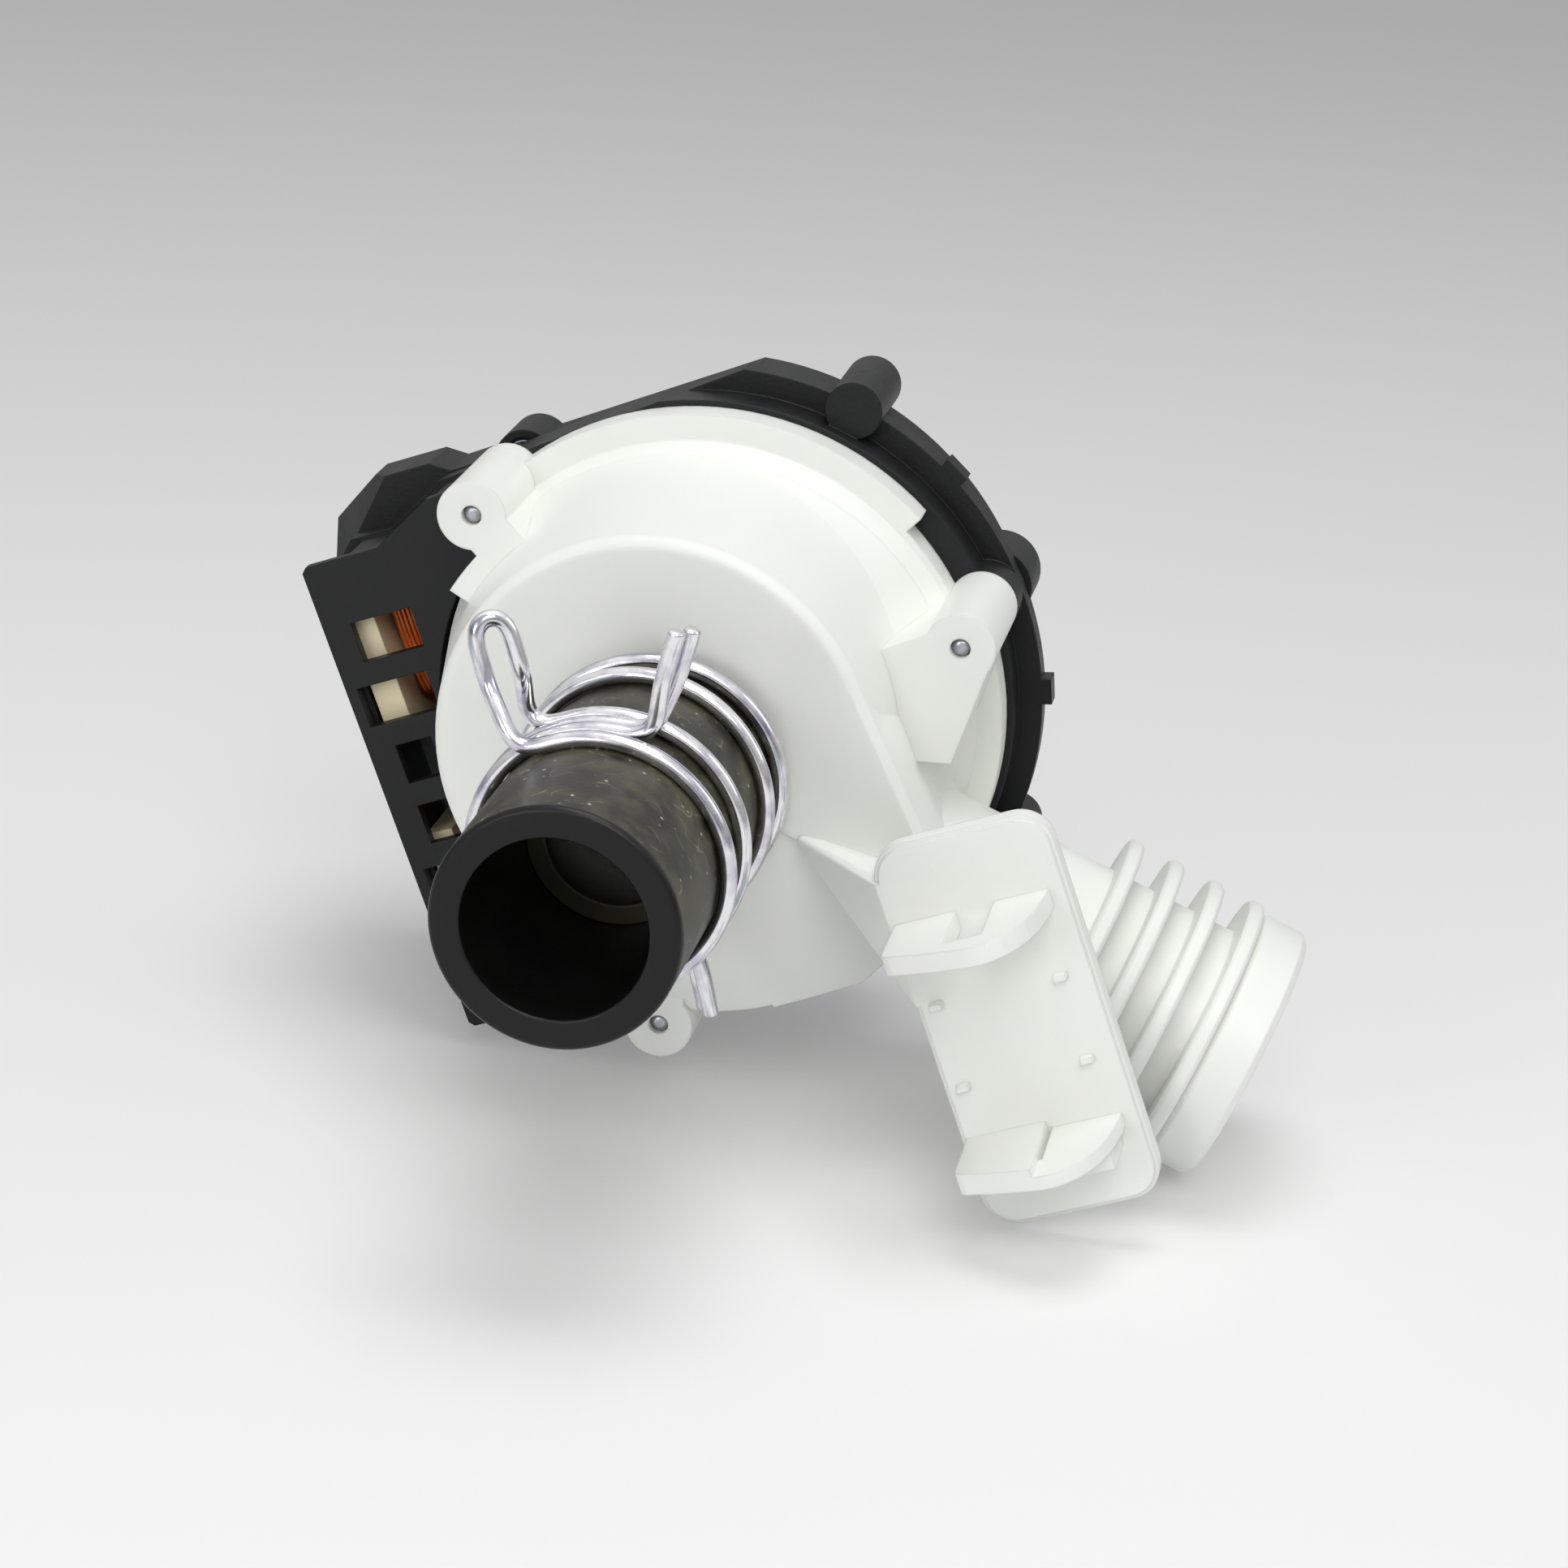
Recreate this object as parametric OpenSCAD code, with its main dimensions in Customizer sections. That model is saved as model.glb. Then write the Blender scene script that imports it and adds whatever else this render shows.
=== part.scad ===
// Drain pump of a washing machine: a white casing with inlet hose and ribbed outlet,
// on a permanent-magnet motor with two coils in a black housing. Millimetres.
// Pump frame: Z runs along the shaft to the inlet, with Z = 0 where casing meets motor.

/* [Inlet hose] */
// Bore of the hose at its free end
hose_bore_d = 25.4; // [22:0.1:28]
// Rubber wall of the hose
hose_wall = 4.3; // [3:0.1:6]
// Length of the hose
hose_len = 63; // [55:1:90]
// Length of the casing's spigot inside the hose
spigot_len = 28.5; // [24:0.5:32]

/* [Hose clamps] */
// Diameter of the clamp wire
clamp_wire_d = 2.4; // [1.6:0.1:2.6]
// Free gap between the two strands of a clamp
strand_gap = 0.5; // [0.45:0.05:1]
// Distance from the hose mouth to the middle of the front clamp
front_clamp_set = 28.7; // [24:0.1:30]
// Distance from the casing's face to the middle of the rear clamp
rear_clamp_set = 8.7; // [7:0.1:12]
// Straight length of the ear that ends in a closed loop
loop_ear_len = 12; // [8:0.5:16]
// Straight length of the ear with two free ends
free_ear_len = 15; // [10:0.5:20]

/* [Casing] */
// Depth from the joint to the flat front face
casing_depth = 33; // [30:0.5:40]
// Outer radius of the wall at its foot
wall_r = 39.5; // [38:0.1:42]
// Radius of the front face
face_r = 31.5; // [30.5:0.1:33]
// How far the front face's middle stands above the shaft
face_rise = 3.8; // [2:0.1:5]
// Radius of the rounded front edge
crown_round = 2; // [1:0.1:3]
// Thickness of the casing's walls
casing_wall = 2.8; // [2.2:0.1:3.2]
// How far the scroll's lower lobe is dropped
scroll_drop = 9.5; // [8:0.1:10]
// Radius of the lower lobe
scroll_r = 35; // [33:0.1:36]
// Radius where the sloping lower front begins
slope_start_r = 19; // [18.5:0.1:21]
// Angle of the sloping lower front
slope_angle = 28; // [20:1:32]
// Radius of the joint flange
flange_r = 45.5; // [44:0.1:47]
// Thickness of the joint flange
flange_t = 5; // [4:0.1:6]

/* [Casing ears] */
// Radius of the circle that the three ears lie on
ear_pitch_r = 45; // [44:0.1:47]
// Radius of an ear's boss
ear_r = 5.2; // [4.5:0.1:6]
// Height of an ear's boss
ear_h = 21.7; // [18:0.1:26]
// Pilot hole in an ear
pilot_d = 3; // [2.6:0.1:3.4]
// Angle of the upper ear
upper_ear_angle = 114; // [112:1:116]
// Angle of the ear beside the outlet
side_ear_angle = 4; // [0:1:6]
// Angle of the lower ear
lower_ear_angle = -113; // [-116:1:-111]

/* [Outlet] */
// Angle of the outlet below horizontal
outlet_angle = -43.4; // [-48:0.2:-40]
// Distance of the outlet's axis from the shaft
outlet_offset = 6.2; // [3:0.1:9]
// Outside diameter of the outlet tube
outlet_tube_d = 31; // [28:0.1:33]
// Diameter of the outlet's passage
outlet_bore_d = 20; // [16:0.1:20.5]
// Diameter of the throat between scroll and outlet
outlet_throat_d = 15; // [13:0.1:16]
// Diameter of the outlet's mouth
outlet_mouth_d = 21.6; // [21:0.1:22]
// Depth of the outlet's mouth
outlet_mouth_depth = 30; // [20:1:32]
// Distance from the shaft to the first rib
first_rib = 67; // [66:0.5:72]
// Number of thin ribs
rib_count = 4; // [2:1:5]
// Distance from rib to rib
rib_pitch = 6.6; // [5:0.1:8]
// Thickness of a rib
rib_t = 2.4; // [2:0.1:3.2]
// Diameter of the ribs
rib_d = 42; // [38:0.1:44]
// Thickness of the end collar
collar_t = 7.8; // [5:0.1:10]
// Diameter of the end collar
collar_d = 39.9; // [37:0.1:41]

/* [Mounting plate] */
// Width of the plate
plate_w = 26.5; // [24:0.1:30]
// Height of the plate
plate_h = 60; // [56:0.5:66]
// Thickness of the plate
plate_t = 3.2; // [2.6:0.1:4]
// Corner radius of the plate
plate_corner = 5; // [3:0.1:7]
// Distance from the shaft to the plate's near edge, sideways
plate_x = 28.2; // [27:0.1:31]
// Distance from the shaft down to the plate's top edge
plate_top = 16; // [15:0.1:20]
// Distance from the casing's face to the back of the plate
plate_gap = 8.6; // [7:0.1:12]
// How far the two shelves stand out
shelf_depth = 17; // [12:0.5:20]
// Thickness of the shelves
shelf_t = 2.9; // [2.4:0.1:4]
// Distance from the plate's top edge down to the upper shelf
upper_shelf_drop = 11.4; // [10:0.1:16]
// Distance between the shelves
shelf_space = 33.8; // [28:0.1:38]

/* [Motor] */
// Thickness of the laminated core
stack_h = 16; // [12:0.5:22]
// Width of the core's legs
leg_w = 12; // [10:0.5:14]
// Distance from the shaft to the back of the core
core_back = 52.2; // [51.6:0.1:56]
// Width of the core's yoke
yoke_w = 5.2; // [4:0.1:5.6]
// Radius of the rotor magnet
rotor_r = 12.5; // [11:0.1:14]
// Length of the rotor magnet
rotor_len = 20; // [16:0.5:24]
// Diameter of the rotor shaft
shaft_d = 4; // [3:0.1:5]
// Wall of the rotor can
can_wall = 1.2; // [0.8:0.1:1.6]
// Thickness of the winding all round
coil_build = 5.5; // [4:0.1:6]
// Diameter of the wire shown in the outer layer
coil_wire_d = 1.2; // [0.8:0.1:1.2]
// Number of loops in the outer layer
coil_loops = 12; // [8:1:12]
// Length of a bobbin
bobbin_len = 24.8; // [24.4:0.1:26]

/* [Motor housing] */
// Wall of the motor frame and the rear cover
cover_wall = 1.8; // [1.4:0.1:2.2]
// Radius of the motor's round rim
rim_r = 50; // [49:0.1:52]
// Thickness of the rim
rim_t = 3.5; // [3:0.1:5]
// How far the coil box stands in front of the joint
box_front = 6; // [5:0.1:8]
// Depth of the rear cover
rear_depth = 29; // [28:0.5:36]
// Depth of the cover's shoulder
shoulder_depth = 10; // [8:0.5:14]
// How far the shoulder stands out past the coil box
shoulder_rise = 7.4; // [6:0.1:9]
// Height of a vent window
window_h = 6.4; // [5:0.1:7]
// Distance from window to window
window_pitch = 10.1; // [9.6:0.1:10.6]
// Room for the winding leads below the lower coil
lead_room = 2.6; // [2:0.1:4]

/* [Impeller] */
// Radius of the impeller
impeller_r = 26; // [22:0.1:29]
// Number of blades
blade_count = 6; // [3:1:8]
// Thickness of a blade
blade_t = 2; // [1.4:0.1:3]
// Height of the blades
blade_h = 14; // [10:0.5:15]
// Width of each driving lug
lug_angle = 85; // [60:1:95]

/* [Pose] */
// Turn about the shaft at which the pump lies on a table
lie_angle = 22; // [0:0.5:30]

/* [Hidden] */
$fn = 72;
overlap = 0.05;
slip = 0.1;
seat_gap = 0.3;
run_gap = 0.05;

// Hose and clamps
hose_r = hose_bore_d / 2 + hose_wall;
spigot_r = hose_bore_d / 2 + slip;
hose_seat_r = spigot_r + slip;
spigot_bore_r = spigot_r - casing_wall;
hose_z = casing_depth + seat_gap;
mouth_z = hose_z + hose_len;
spigot_end_z = casing_depth + spigot_len;
hose_step_z = spigot_end_z + seat_gap;
front_clamp_z = mouth_z - front_clamp_set;
rear_clamp_z = casing_depth + rear_clamp_set;
clamp_r = hose_r + clamp_wire_d / 2 + slip;
strand_pitch = clamp_wire_d + strand_gap;
loop_bend_angle = 94;
loop_ear_dir = 88;
free_bend_angle = 60;
free_ear_dir = 50;
ear_bend_r = 1.2 * clamp_wire_d;
rear_clamp_turn = -42;
loop_lean = 0.85 * strand_pitch;
free_lean = 0.49 * strand_pitch;
ear_mid = 0.55;

// Casing
ear_angles = [upper_ear_angle, side_ear_angle, lower_ear_angle];
seal_r = 1.45;
seal_seat_h = 2 * seal_r + seat_gap;
seal_seat_r = wall_r - casing_wall - 0.4;
seal_ring_r = seal_seat_r - seal_r - slip;
chamber_r = face_r + 0.8;
slope_tan = tan(slope_angle);
chamber_h = casing_depth - (chamber_r - slope_start_r) * slope_tan - casing_wall / cos(slope_angle);
chamber_top = chamber_h + (chamber_r - slope_start_r) * slope_tan;
outlet_z = flange_t + 0.45 * outlet_bore_d;
throat_z = flange_t + 0.48 * outlet_throat_d;
throat_end_s = first_rib - 2 * rib_pitch;
collar_s = first_rib + (rib_count - 1) * rib_pitch + rib_t / 2 - overlap;
outlet_end_s = collar_s + collar_t;
plate_z = casing_depth + plate_gap;
plate_front = plate_z + plate_t;
plate_right = plate_x + plate_w;
upper_shelf_y = -plate_top - upper_shelf_drop;
lower_shelf_y = upper_shelf_y - shelf_space;

// Motor, with Z falling away behind the joint
disc_t = 2;
spool_wall = 1.2;
core_gap = 0.4;
spool_t = spool_wall + core_gap;
coil_gap = 0.5;
stack_front = -(disc_t + coil_gap + coil_build + spool_t);
stack_back = stack_front - stack_h;
stack_mid = (stack_front + stack_back) / 2;
can_in_r = rotor_r + 0.6;
can_r = can_in_r + can_wall;
pole_r = can_r + 0.5;
leg_in = pole_r + slip;
leg_y = leg_in + leg_w / 2;
coil_half_y = leg_w / 2 + spool_t + coil_build;
coil_half_z = stack_h / 2 + spool_t + coil_build;
coil_back = stack_mid - coil_half_z;
flange_over = 0.4;
bobbin_flange_t = 1;
yoke_gap = 0.6;
bobbin_x = -core_back + yoke_w + yoke_gap;
spool_x = bobbin_x + bobbin_flange_t;
spool_len = bobbin_len - 2 * bobbin_flange_t;
coil_end_gap = 0.3;
pack_build = coil_build - coil_wire_d - 0.2;
cap_front = box_front - cover_wall - 1.2;
cap_back = coil_back - 1.2;
cap_x = -core_back + 2.4;
rotor_front = stack_mid + rotor_len / 2;
rotor_back = rotor_front - rotor_len;
washer_t = 0.8;
bearing_len = 6;
bush_r = shaft_d / 2 + 3;
cushion_t = 2;
carrier_front = 0;
carrier_back = rotor_front + washer_t + 2 * slip;
rear_seat = rotor_back - washer_t - 2 * slip;
pocket_back = rear_seat - bearing_len - slip;
can_end = pocket_back - can_wall;
can_flange_t = 2.4;
can_flange_r = seal_ring_r - seal_r - slip;
shaft_r = shaft_d / 2;

// Motor housing
box_inset = 0.6;
box_top = leg_y + coil_half_y + flange_over + coil_gap + cover_wall + box_inset;
box_bottom = -box_top - lead_room;
box_mid = (box_top + box_bottom) / 2;
box_left = -core_back - 0.2 - cover_wall;
face_left = box_left + 1.5;
box_rise = 5;
box_slope_w = 10;
box_tab_w = 12.7;
waist = 6;
cavity_corner = waist - 2;
rim_cut_x = 20;
rim_back = stack_front;
rim_front = rim_back + rim_t;
dish_r = flange_r + 0.9;
arc_in_r = wall_r + 1.1;
arc_out_r = arc_in_r + 1.2;
cover_back = rim_back - rear_depth;
well_r = 3.5;
lobe_r = 4.3;
lobe_angles = [46, -46];
catch_angles = [26, -16];
lobe_pitch_r = rim_r;
ear_rise = 0.8;
lobe_screw_d = 2.4;
shoulder_back = rim_back - shoulder_depth;
lobe_seat_z = rim_back - shoulder_depth / 2;

// Impeller
impeller_z = can_flange_t + 1.1;
impeller_disc_t = 2;
hub_r = 8.6;
hub_in_r = 7;
cap_t = 1.4;
dog_z = impeller_z + cap_t + 0.3;
dog_len = 7;
hub_floor = dog_z + dog_len + 0.3;
tip_hold = 3.4;
shaft_tip = hub_floor + tip_hold;
hub_top = shaft_tip + 1.8;
dog_hub_r = shaft_r + 1.5;

// Places the pump frame in the part's frame: shaft level, inlet towards -Y, mouth at the origin
module placed() {
  translate([0, mouth_z, 0]) rotate([90, 0, 0]) rotate([0, 0, lie_angle]) children();
}

// Ring or bush between two radii, from z0 up by h
module ring(r_out, r_in, z0, h) {
  translate([0, 0, z0]) difference() {
    cylinder(r = r_out, h = h);
    translate([0, 0, -1]) cylinder(r = r_in, h = h + 2);
  }
}

// Disc with bevelled edges
module bevel_disc(r, t, c) {
  rotate_extrude() polygon([[0, 0], [r - c, 0], [r, c], [r, t - c], [r - c, t], [0, t]]);
}

// Flat rectangle with round corners, from the origin corner
module round_rect(w, h, r) {
  translate([r, 0]) square([w - 2 * r, h]);
  translate([0, r]) square([w, h - 2 * r]);
  for (x = [r, w - r], y = [r, h - r]) translate([x, y]) circle(r = r);
}

// Copies round the shaft at the given angles and radius, in plan
module at_angles(angles, r) {
  for (a = angles) rotate(a) translate([r, 0]) children();
}

// Wedge of a full turn, from angle a0 to a1, reaching out to r
module wedge(a0, a1, r) {
  mid = (a0 + a1) / 2;
  far = 1.5 * r;
  polygon([[0, 0], far * [cos(a0), sin(a0)], far * [cos(mid), sin(mid)], far * [cos(a1), sin(a1)]]);
}

// Round wire swept along a path of points, without twist
function unit(v) = v / norm(v);
function tangents(p) =
  [for (i = [0 : len(p) - 1]) unit(p[min(i + 1, len(p) - 1)] - p[max(i - 1, 0)])];
function square_to(n, t) = unit(n - (n * t) * t);
function normals(t, start) =
  [for (i = 0, n = square_to(start, t[0]); i < len(t);
        i = i + 1, n = i < len(t) ? square_to(n, t[i]) : n) n];

module wire(path, d, sides, start) {
  t = tangents(path);
  n = normals(t, start);
  rings = len(path);
  points = [for (i = [0 : rings - 1], k = [0 : sides - 1])
    let (a = 360 * k / sides)
    path[i] + d / 2 * (cos(a) * n[i] + sin(a) * cross(t[i], n[i]))];
  skin = [for (i = [0 : rings - 2], k = [0 : sides - 1], half = [0, 1])
    let (a = i * sides + k, b = i * sides + (k + 1) % sides)
    half == 0 ? [a, a + sides, b + sides] : [a, b + sides, b]];
  last = (rings - 1) * sides;
  caps = [for (k = [1 : sides - 2], end = [0, 1])
    end == 0 ? [0, k, k + 1] : [last, last + k + 1, last + k]];
  polyhedron(points = points, faces = concat(skin, caps));
}

// Least gap between stretches of a wire that lie more than apart points away along it
function least_gap(path, d, apart) =
  min([for (i = [0 : len(path) - 1 - apart], j = [i + apart : len(path) - 1])
    norm(path[i] - path[j])]) - d;

// Spring clamp bent from one wire: a closed-loop ear, a full turn and more, and two free ends
wide_strand = 1.5 * strand_pitch;
wrap_angle = 360 + loop_bend_angle - free_bend_angle;
wrap_steps = 40;
bend_steps = 4;
function strand_offset(turn) =
  let (s = min(1, max(0, (turn - 45) / 120)), blend = s * s * (3 - 2 * s))
  wide_strand + (strand_pitch / 2 - wide_strand) * blend;
function on_angle(r, a, z) = [r * cos(a), r * sin(a), z];
function loop_bend(heading, z) =
  on_angle(clamp_r + ear_bend_r, loop_bend_angle, 0) + on_angle(ear_bend_r, heading + 90, z);
function free_bend(heading, z) =
  on_angle(clamp_r + ear_bend_r, free_bend_angle, 0) + on_angle(ear_bend_r, heading - 90, z);
function leaning(side, dir, lean, set) = side * (on_angle(lean, dir + 90, 0) + [0, 0, set]);
loop_tip = loop_bend(loop_ear_dir, 0) + on_angle(loop_ear_len, loop_ear_dir, 0);
free_tip = free_bend(free_ear_dir, 0) + on_angle(free_ear_len, free_ear_dir, 0);
loop_half = leaning(1, loop_ear_dir, loop_lean, 0.6 * loop_lean);
free_half = leaning(1, free_ear_dir, free_lean, 0.2 * free_lean);
function clamp_strand(side) = concat(
  [loop_tip + side * loop_half, loop_tip - on_angle(ear_mid * loop_ear_len, loop_ear_dir, 0) + side * loop_half],
  [for (i = [0 : bend_steps - 1])
    loop_bend(loop_ear_dir + (loop_bend_angle + 90 - loop_ear_dir) * i / bend_steps, side * wide_strand)],
  [for (i = [0 : wrap_steps])
    let (turn = wrap_angle * i / wrap_steps)
    on_angle(clamp_r, loop_bend_angle - turn, side * strand_offset(turn))],
  [for (i = [1 : bend_steps])
    free_bend(free_bend_angle - 90 + (free_ear_dir + 90 - free_bend_angle) * i / bend_steps,
      side * strand_pitch / 2)],
  [free_tip - on_angle(ear_mid * free_ear_len, free_ear_dir, 0) + side * free_half, free_tip + side * free_half]);
function reversed(list) = [for (i = [len(list) - 1 : -1 : 0]) list[i]];
loop_arc = [for (i = [1 : 7])
  let (a = 180 * i / 8)
  loop_tip + cos(a) * loop_half + on_angle(norm(loop_half) * sin(a), loop_ear_dir, 0)];
clamp_path = concat(reversed(clamp_strand(1)), loop_arc, clamp_strand(-1));
echo(clamp_gap = least_gap(clamp_path, clamp_wire_d, 12));

module hose_clamp() {
  wire(clamp_path, clamp_wire_d, 8, [0, 0, 1]);
}

// Tapered drum under the front face, set a little above the shaft, on a wider round foot
module casing_wall_body() {
  foot_h = flange_t + 2.6;
  drum_r = wall_r - 2;
  top_r = face_r + crown_round / 2;
  shoulder = 4.5;
  edge = [for (a = [0 : 15 : 90])
    [top_r - crown_round + crown_round * cos(a), casing_depth - crown_round + crown_round * sin(a)]];
  rotate_extrude() polygon([
    [0, 0],
    [wall_r, 0],
    [wall_r, foot_h],
    [wall_r - shoulder, foot_h + 2 * shoulder],
    [0, foot_h + 2 * shoulder]]);
  translate([-0.2 * face_rise, 0.7 * face_rise, 0]) rotate_extrude()
    polygon(concat([[0, foot_h - 1], [drum_r, foot_h - 1], [drum_r, foot_h]], edge, [[0, casing_depth]]));
}

// Lower lobe of the scroll
module scroll_lobe() {
  edge = 1.2;
  top_r = face_r + 1.3;
  translate([0, -scroll_drop, 0]) cylinder(r1 = scroll_r, r2 = top_r, h = casing_depth - edge);
  translate([0, -scroll_drop, casing_depth - edge]) cylinder(r1 = top_r, r2 = top_r - edge, h = edge);
}

// Duct from the scroll to the outlet, level with the front face and straight on its right and lower sides
module outlet_duct() {
  corner = 1.2;
  start = 0.5;
  plan = face_r * [[0.6, 0.2], [1, 0.16], [1.085, -0.7], [1.05, -0.92], [0.9, -1.14], [0.45, -1.38], [0, -1.385], [0, 0]];
  translate([0, 0, start]) hull() for (ease = [0, corner])
    linear_extrude(casing_depth - start - corner + ease) offset(delta = -ease) polygon(plan);
}

// Room in front of the sloping lower face, between the left side and the plate's gusset
module slope_cut() {
  top = 2 * casing_depth;
  far = flange_r + 10;
  intersection() {
    rotate_extrude() polygon([
      [slope_start_r, casing_depth],
      [far, casing_depth - (far - slope_start_r) * slope_tan],
      [far, top],
      [slope_start_r, top]]);
    linear_extrude(top) wedge(-160, -44, far);
  }
}

// Joint flange on the side away from the coils, with a notch beside the upper right
module joint_flange() {
  foot = 2.2;
  difference() {
    union() {
      cylinder(r = flange_r, h = flange_t);
      translate([0, 0, flange_t]) cylinder(r1 = wall_r + foot, r2 = wall_r, h = foot);
    }
    translate([-2 * flange_r + ear_pitch_r * cos(upper_ear_angle) - 1, -flange_r, -1])
      cube([2 * flange_r, 2 * flange_r, flange_t + foot + 2]);
    translate([0, 0, -1]) linear_extrude(flange_t + foot + 2) difference() {
      wedge(side_ear_angle + 6, side_ear_angle + 21, flange_r);
      circle(r = flange_r - 2.9);
    }
  }
}

// Three screw bosses in plan, each with its neck and a short shoulder along the wall
module ear_plan() {
  neck = 1.4 * ear_r;
  inner_r = chamber_r + 1;
  shoulders = [15, -21, -15];
  for (i = [0 : len(ear_angles) - 1]) {
    angle = ear_angles[i];
    rotate(angle) {
      translate([ear_pitch_r, 0]) circle(r = ear_r);
      translate([inner_r, -neck / 2]) square([ear_pitch_r - inner_r, neck]);
    }
    intersection() {
      difference() {
        circle(r = wall_r + 0.8);
        circle(r = inner_r);
      }
      wedge(min(angle, angle + shoulders[i]), max(angle, angle + shoulders[i]), wall_r);
    }
  }
  side_ear_web();
}

// Straight web from the outer side of the ear beside the outlet, running out on the wall
module side_ear_web() {
  foot = (wall_r + 1) * [cos(side_ear_angle - 23), sin(side_ear_angle - 23)];
  boss = ear_pitch_r * [cos(side_ear_angle), sin(side_ear_angle)];
  line = boss - foot;
  reach = 0.94 * ear_r;
  bearing = atan2(line[1], line[0]) - asin(reach / norm(line)) - 90;
  inner = chamber_r + 1;
  polygon([foot, boss + reach * [cos(bearing), sin(bearing)], boss, inner * unit(boss), inner * unit(foot)]);
}

// Frame of the outlet: Z along its axis, starting beside the shaft
module along_outlet(s, z = outlet_z) {
  rotate([0, 0, outlet_angle]) translate([s, -outlet_offset, z]) rotate([0, 90, 0]) children();
}

// Ribbed tube on a narrower neck, its root cut back beside the sloping lower face
module outlet_stub() {
  neck_r = outlet_throat_d / 2 + casing_wall;
  root = [19, -20, -1];
  root_angle = -73;
  difference() {
    along_outlet(chamber_r / 2) cylinder(d = outlet_tube_d, h = outlet_end_s - chamber_r / 2 - 1);
    translate([0, 0, seat_gap - outlet_tube_d]) cylinder(r = rim_r + 1, h = outlet_tube_d);
    translate(root) rotate([0, 0, root_angle]) translate([-face_r / 2, -2 * outlet_tube_d, -1])
      cube([wall_r + face_r / 2, 2 * outlet_tube_d, 2 * casing_depth]);
  }
  along_outlet(chamber_r / 2, throat_z) cylinder(r = neck_r, h = throat_end_s + 4 - chamber_r / 2);
  for (i = [0 : rib_count - 1])
    along_outlet(first_rib + i * rib_pitch - rib_t / 2) bevel_disc(rib_d / 2, rib_t, 0.5);
  along_outlet(collar_s) bevel_disc(collar_d / 2, collar_t, 1);
}

module outlet_passage() {
  along_outlet(chamber_r / 2, throat_z) cylinder(d = outlet_throat_d, h = throat_end_s + 1 - chamber_r / 2);
  along_outlet(throat_end_s) cylinder(d = outlet_bore_d, h = outlet_end_s);
  along_outlet(outlet_end_s - outlet_mouth_depth - seat_gap)
    cylinder(d = outlet_mouth_d, h = outlet_mouth_depth + seat_gap + 1);
}

// Outline of a shelf from its root: deepest past the middle and rounded off towards the outlet
shelf_w = plate_w - 3.6;
shelf_curve = [[0, 0], [0, 0.66], [0.01, 0.71], [0.05, 0.75], [0.33, 0.9], [0.5, 0.97], [0.57, 0.995], [0.64, 1],
  [0.71, 0.975], [0.79, 0.91], [0.86, 0.81], [0.92, 0.67], [0.96, 0.5], [0.985, 0.3], [1, 0.15], [1, 0]];
module shelf_plan() {
  polygon([for (p = shelf_curve) [p[0] * shelf_w, p[1] * shelf_depth]]);
}

// Flat shelf with a slot at its root, on the plate's upper half
module upper_shelf() {
  translate([plate_x + 0.8, upper_shelf_y, plate_front - overlap]) rotate([90, 0, 0]) linear_extrude(shelf_t)
    difference() {
      shelf_plan();
      translate([0.4 * shelf_w, -1]) square([0.25 * shelf_w, 0.74 * shelf_depth + 1]);
    }
}

// Flat shelf slit at its root, a little lower on its right half and with a rib below
module lower_shelf() {
  slit_w = 0.7;
  slit_x = 0.52 * shelf_w;
  drop = 1.2;
  translate([plate_x + 0.8, lower_shelf_y, plate_front - overlap]) rotate([90, 0, 0]) difference() {
    linear_extrude(1.15 * shelf_t) shelf_plan();
    translate([slit_x, -1, -1]) cube([slit_w, 0.64 * shelf_depth + 1, 2 * shelf_t]);
    translate([slit_x + 0.1, -1, -1]) cube([shelf_w, 2 * shelf_depth, drop + 1]);
  }
  translate([plate_x + 0.55 * plate_w, lower_shelf_y - 2.1 * shelf_t, plate_front - overlap])
    cube([0.3 * plate_w, 1.2 * shelf_t, 0.5 * shelf_depth]);
}

// Flat plate with eased edges, two shelves and four small nubs
module mounting_plate() {
  nub = [1.9, 1, 1.3];
  ease = 0.6;
  translate([plate_x, -plate_top - plate_h, plate_z]) {
    linear_extrude(plate_t - ease) round_rect(plate_w, plate_h, plate_corner);
    translate([ease, ease, 1])
      linear_extrude(plate_t - 1) round_rect(plate_w - 2 * ease, plate_h - 2 * ease, plate_corner - ease);
  }
  for (x = [plate_x + 2, plate_right - 5 - nub[0] / 2], y = [upper_shelf_y - 13.5, lower_shelf_y + 7.4])
    translate([x, y, plate_front - overlap]) cube(nub);
  upper_shelf();
  lower_shelf();
}

// Webs that carry the plate: two on the outlet tube and a buttress from the casing's face
module plate_webs() {
  web_t = 2.8;
  web_start = 52;
  for (side = [-5.5, 5.5])
    rotate([0, 0, outlet_angle]) translate([web_start, side - outlet_offset - web_t / 2, outlet_z])
      cube([first_rib - rib_t - web_start, web_t, plate_z - outlet_z + overlap]);
  hull() {
    translate([slope_start_r - 2.2, -15.6, casing_depth - 2]) cylinder(r = 0.8, h = 2.6, $fn = 16);
    translate([plate_x - 2.4, -plate_top - 5.6, casing_depth - 2]) cylinder(r = 0.8, h = 2.6, $fn = 16);
    translate([plate_x, -plate_top - 7, plate_z]) cube([2, 2, plate_t]);
    translate([plate_x, -plate_top - 24, plate_z]) cube([2, 2, plate_t]);
  }
}

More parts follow.
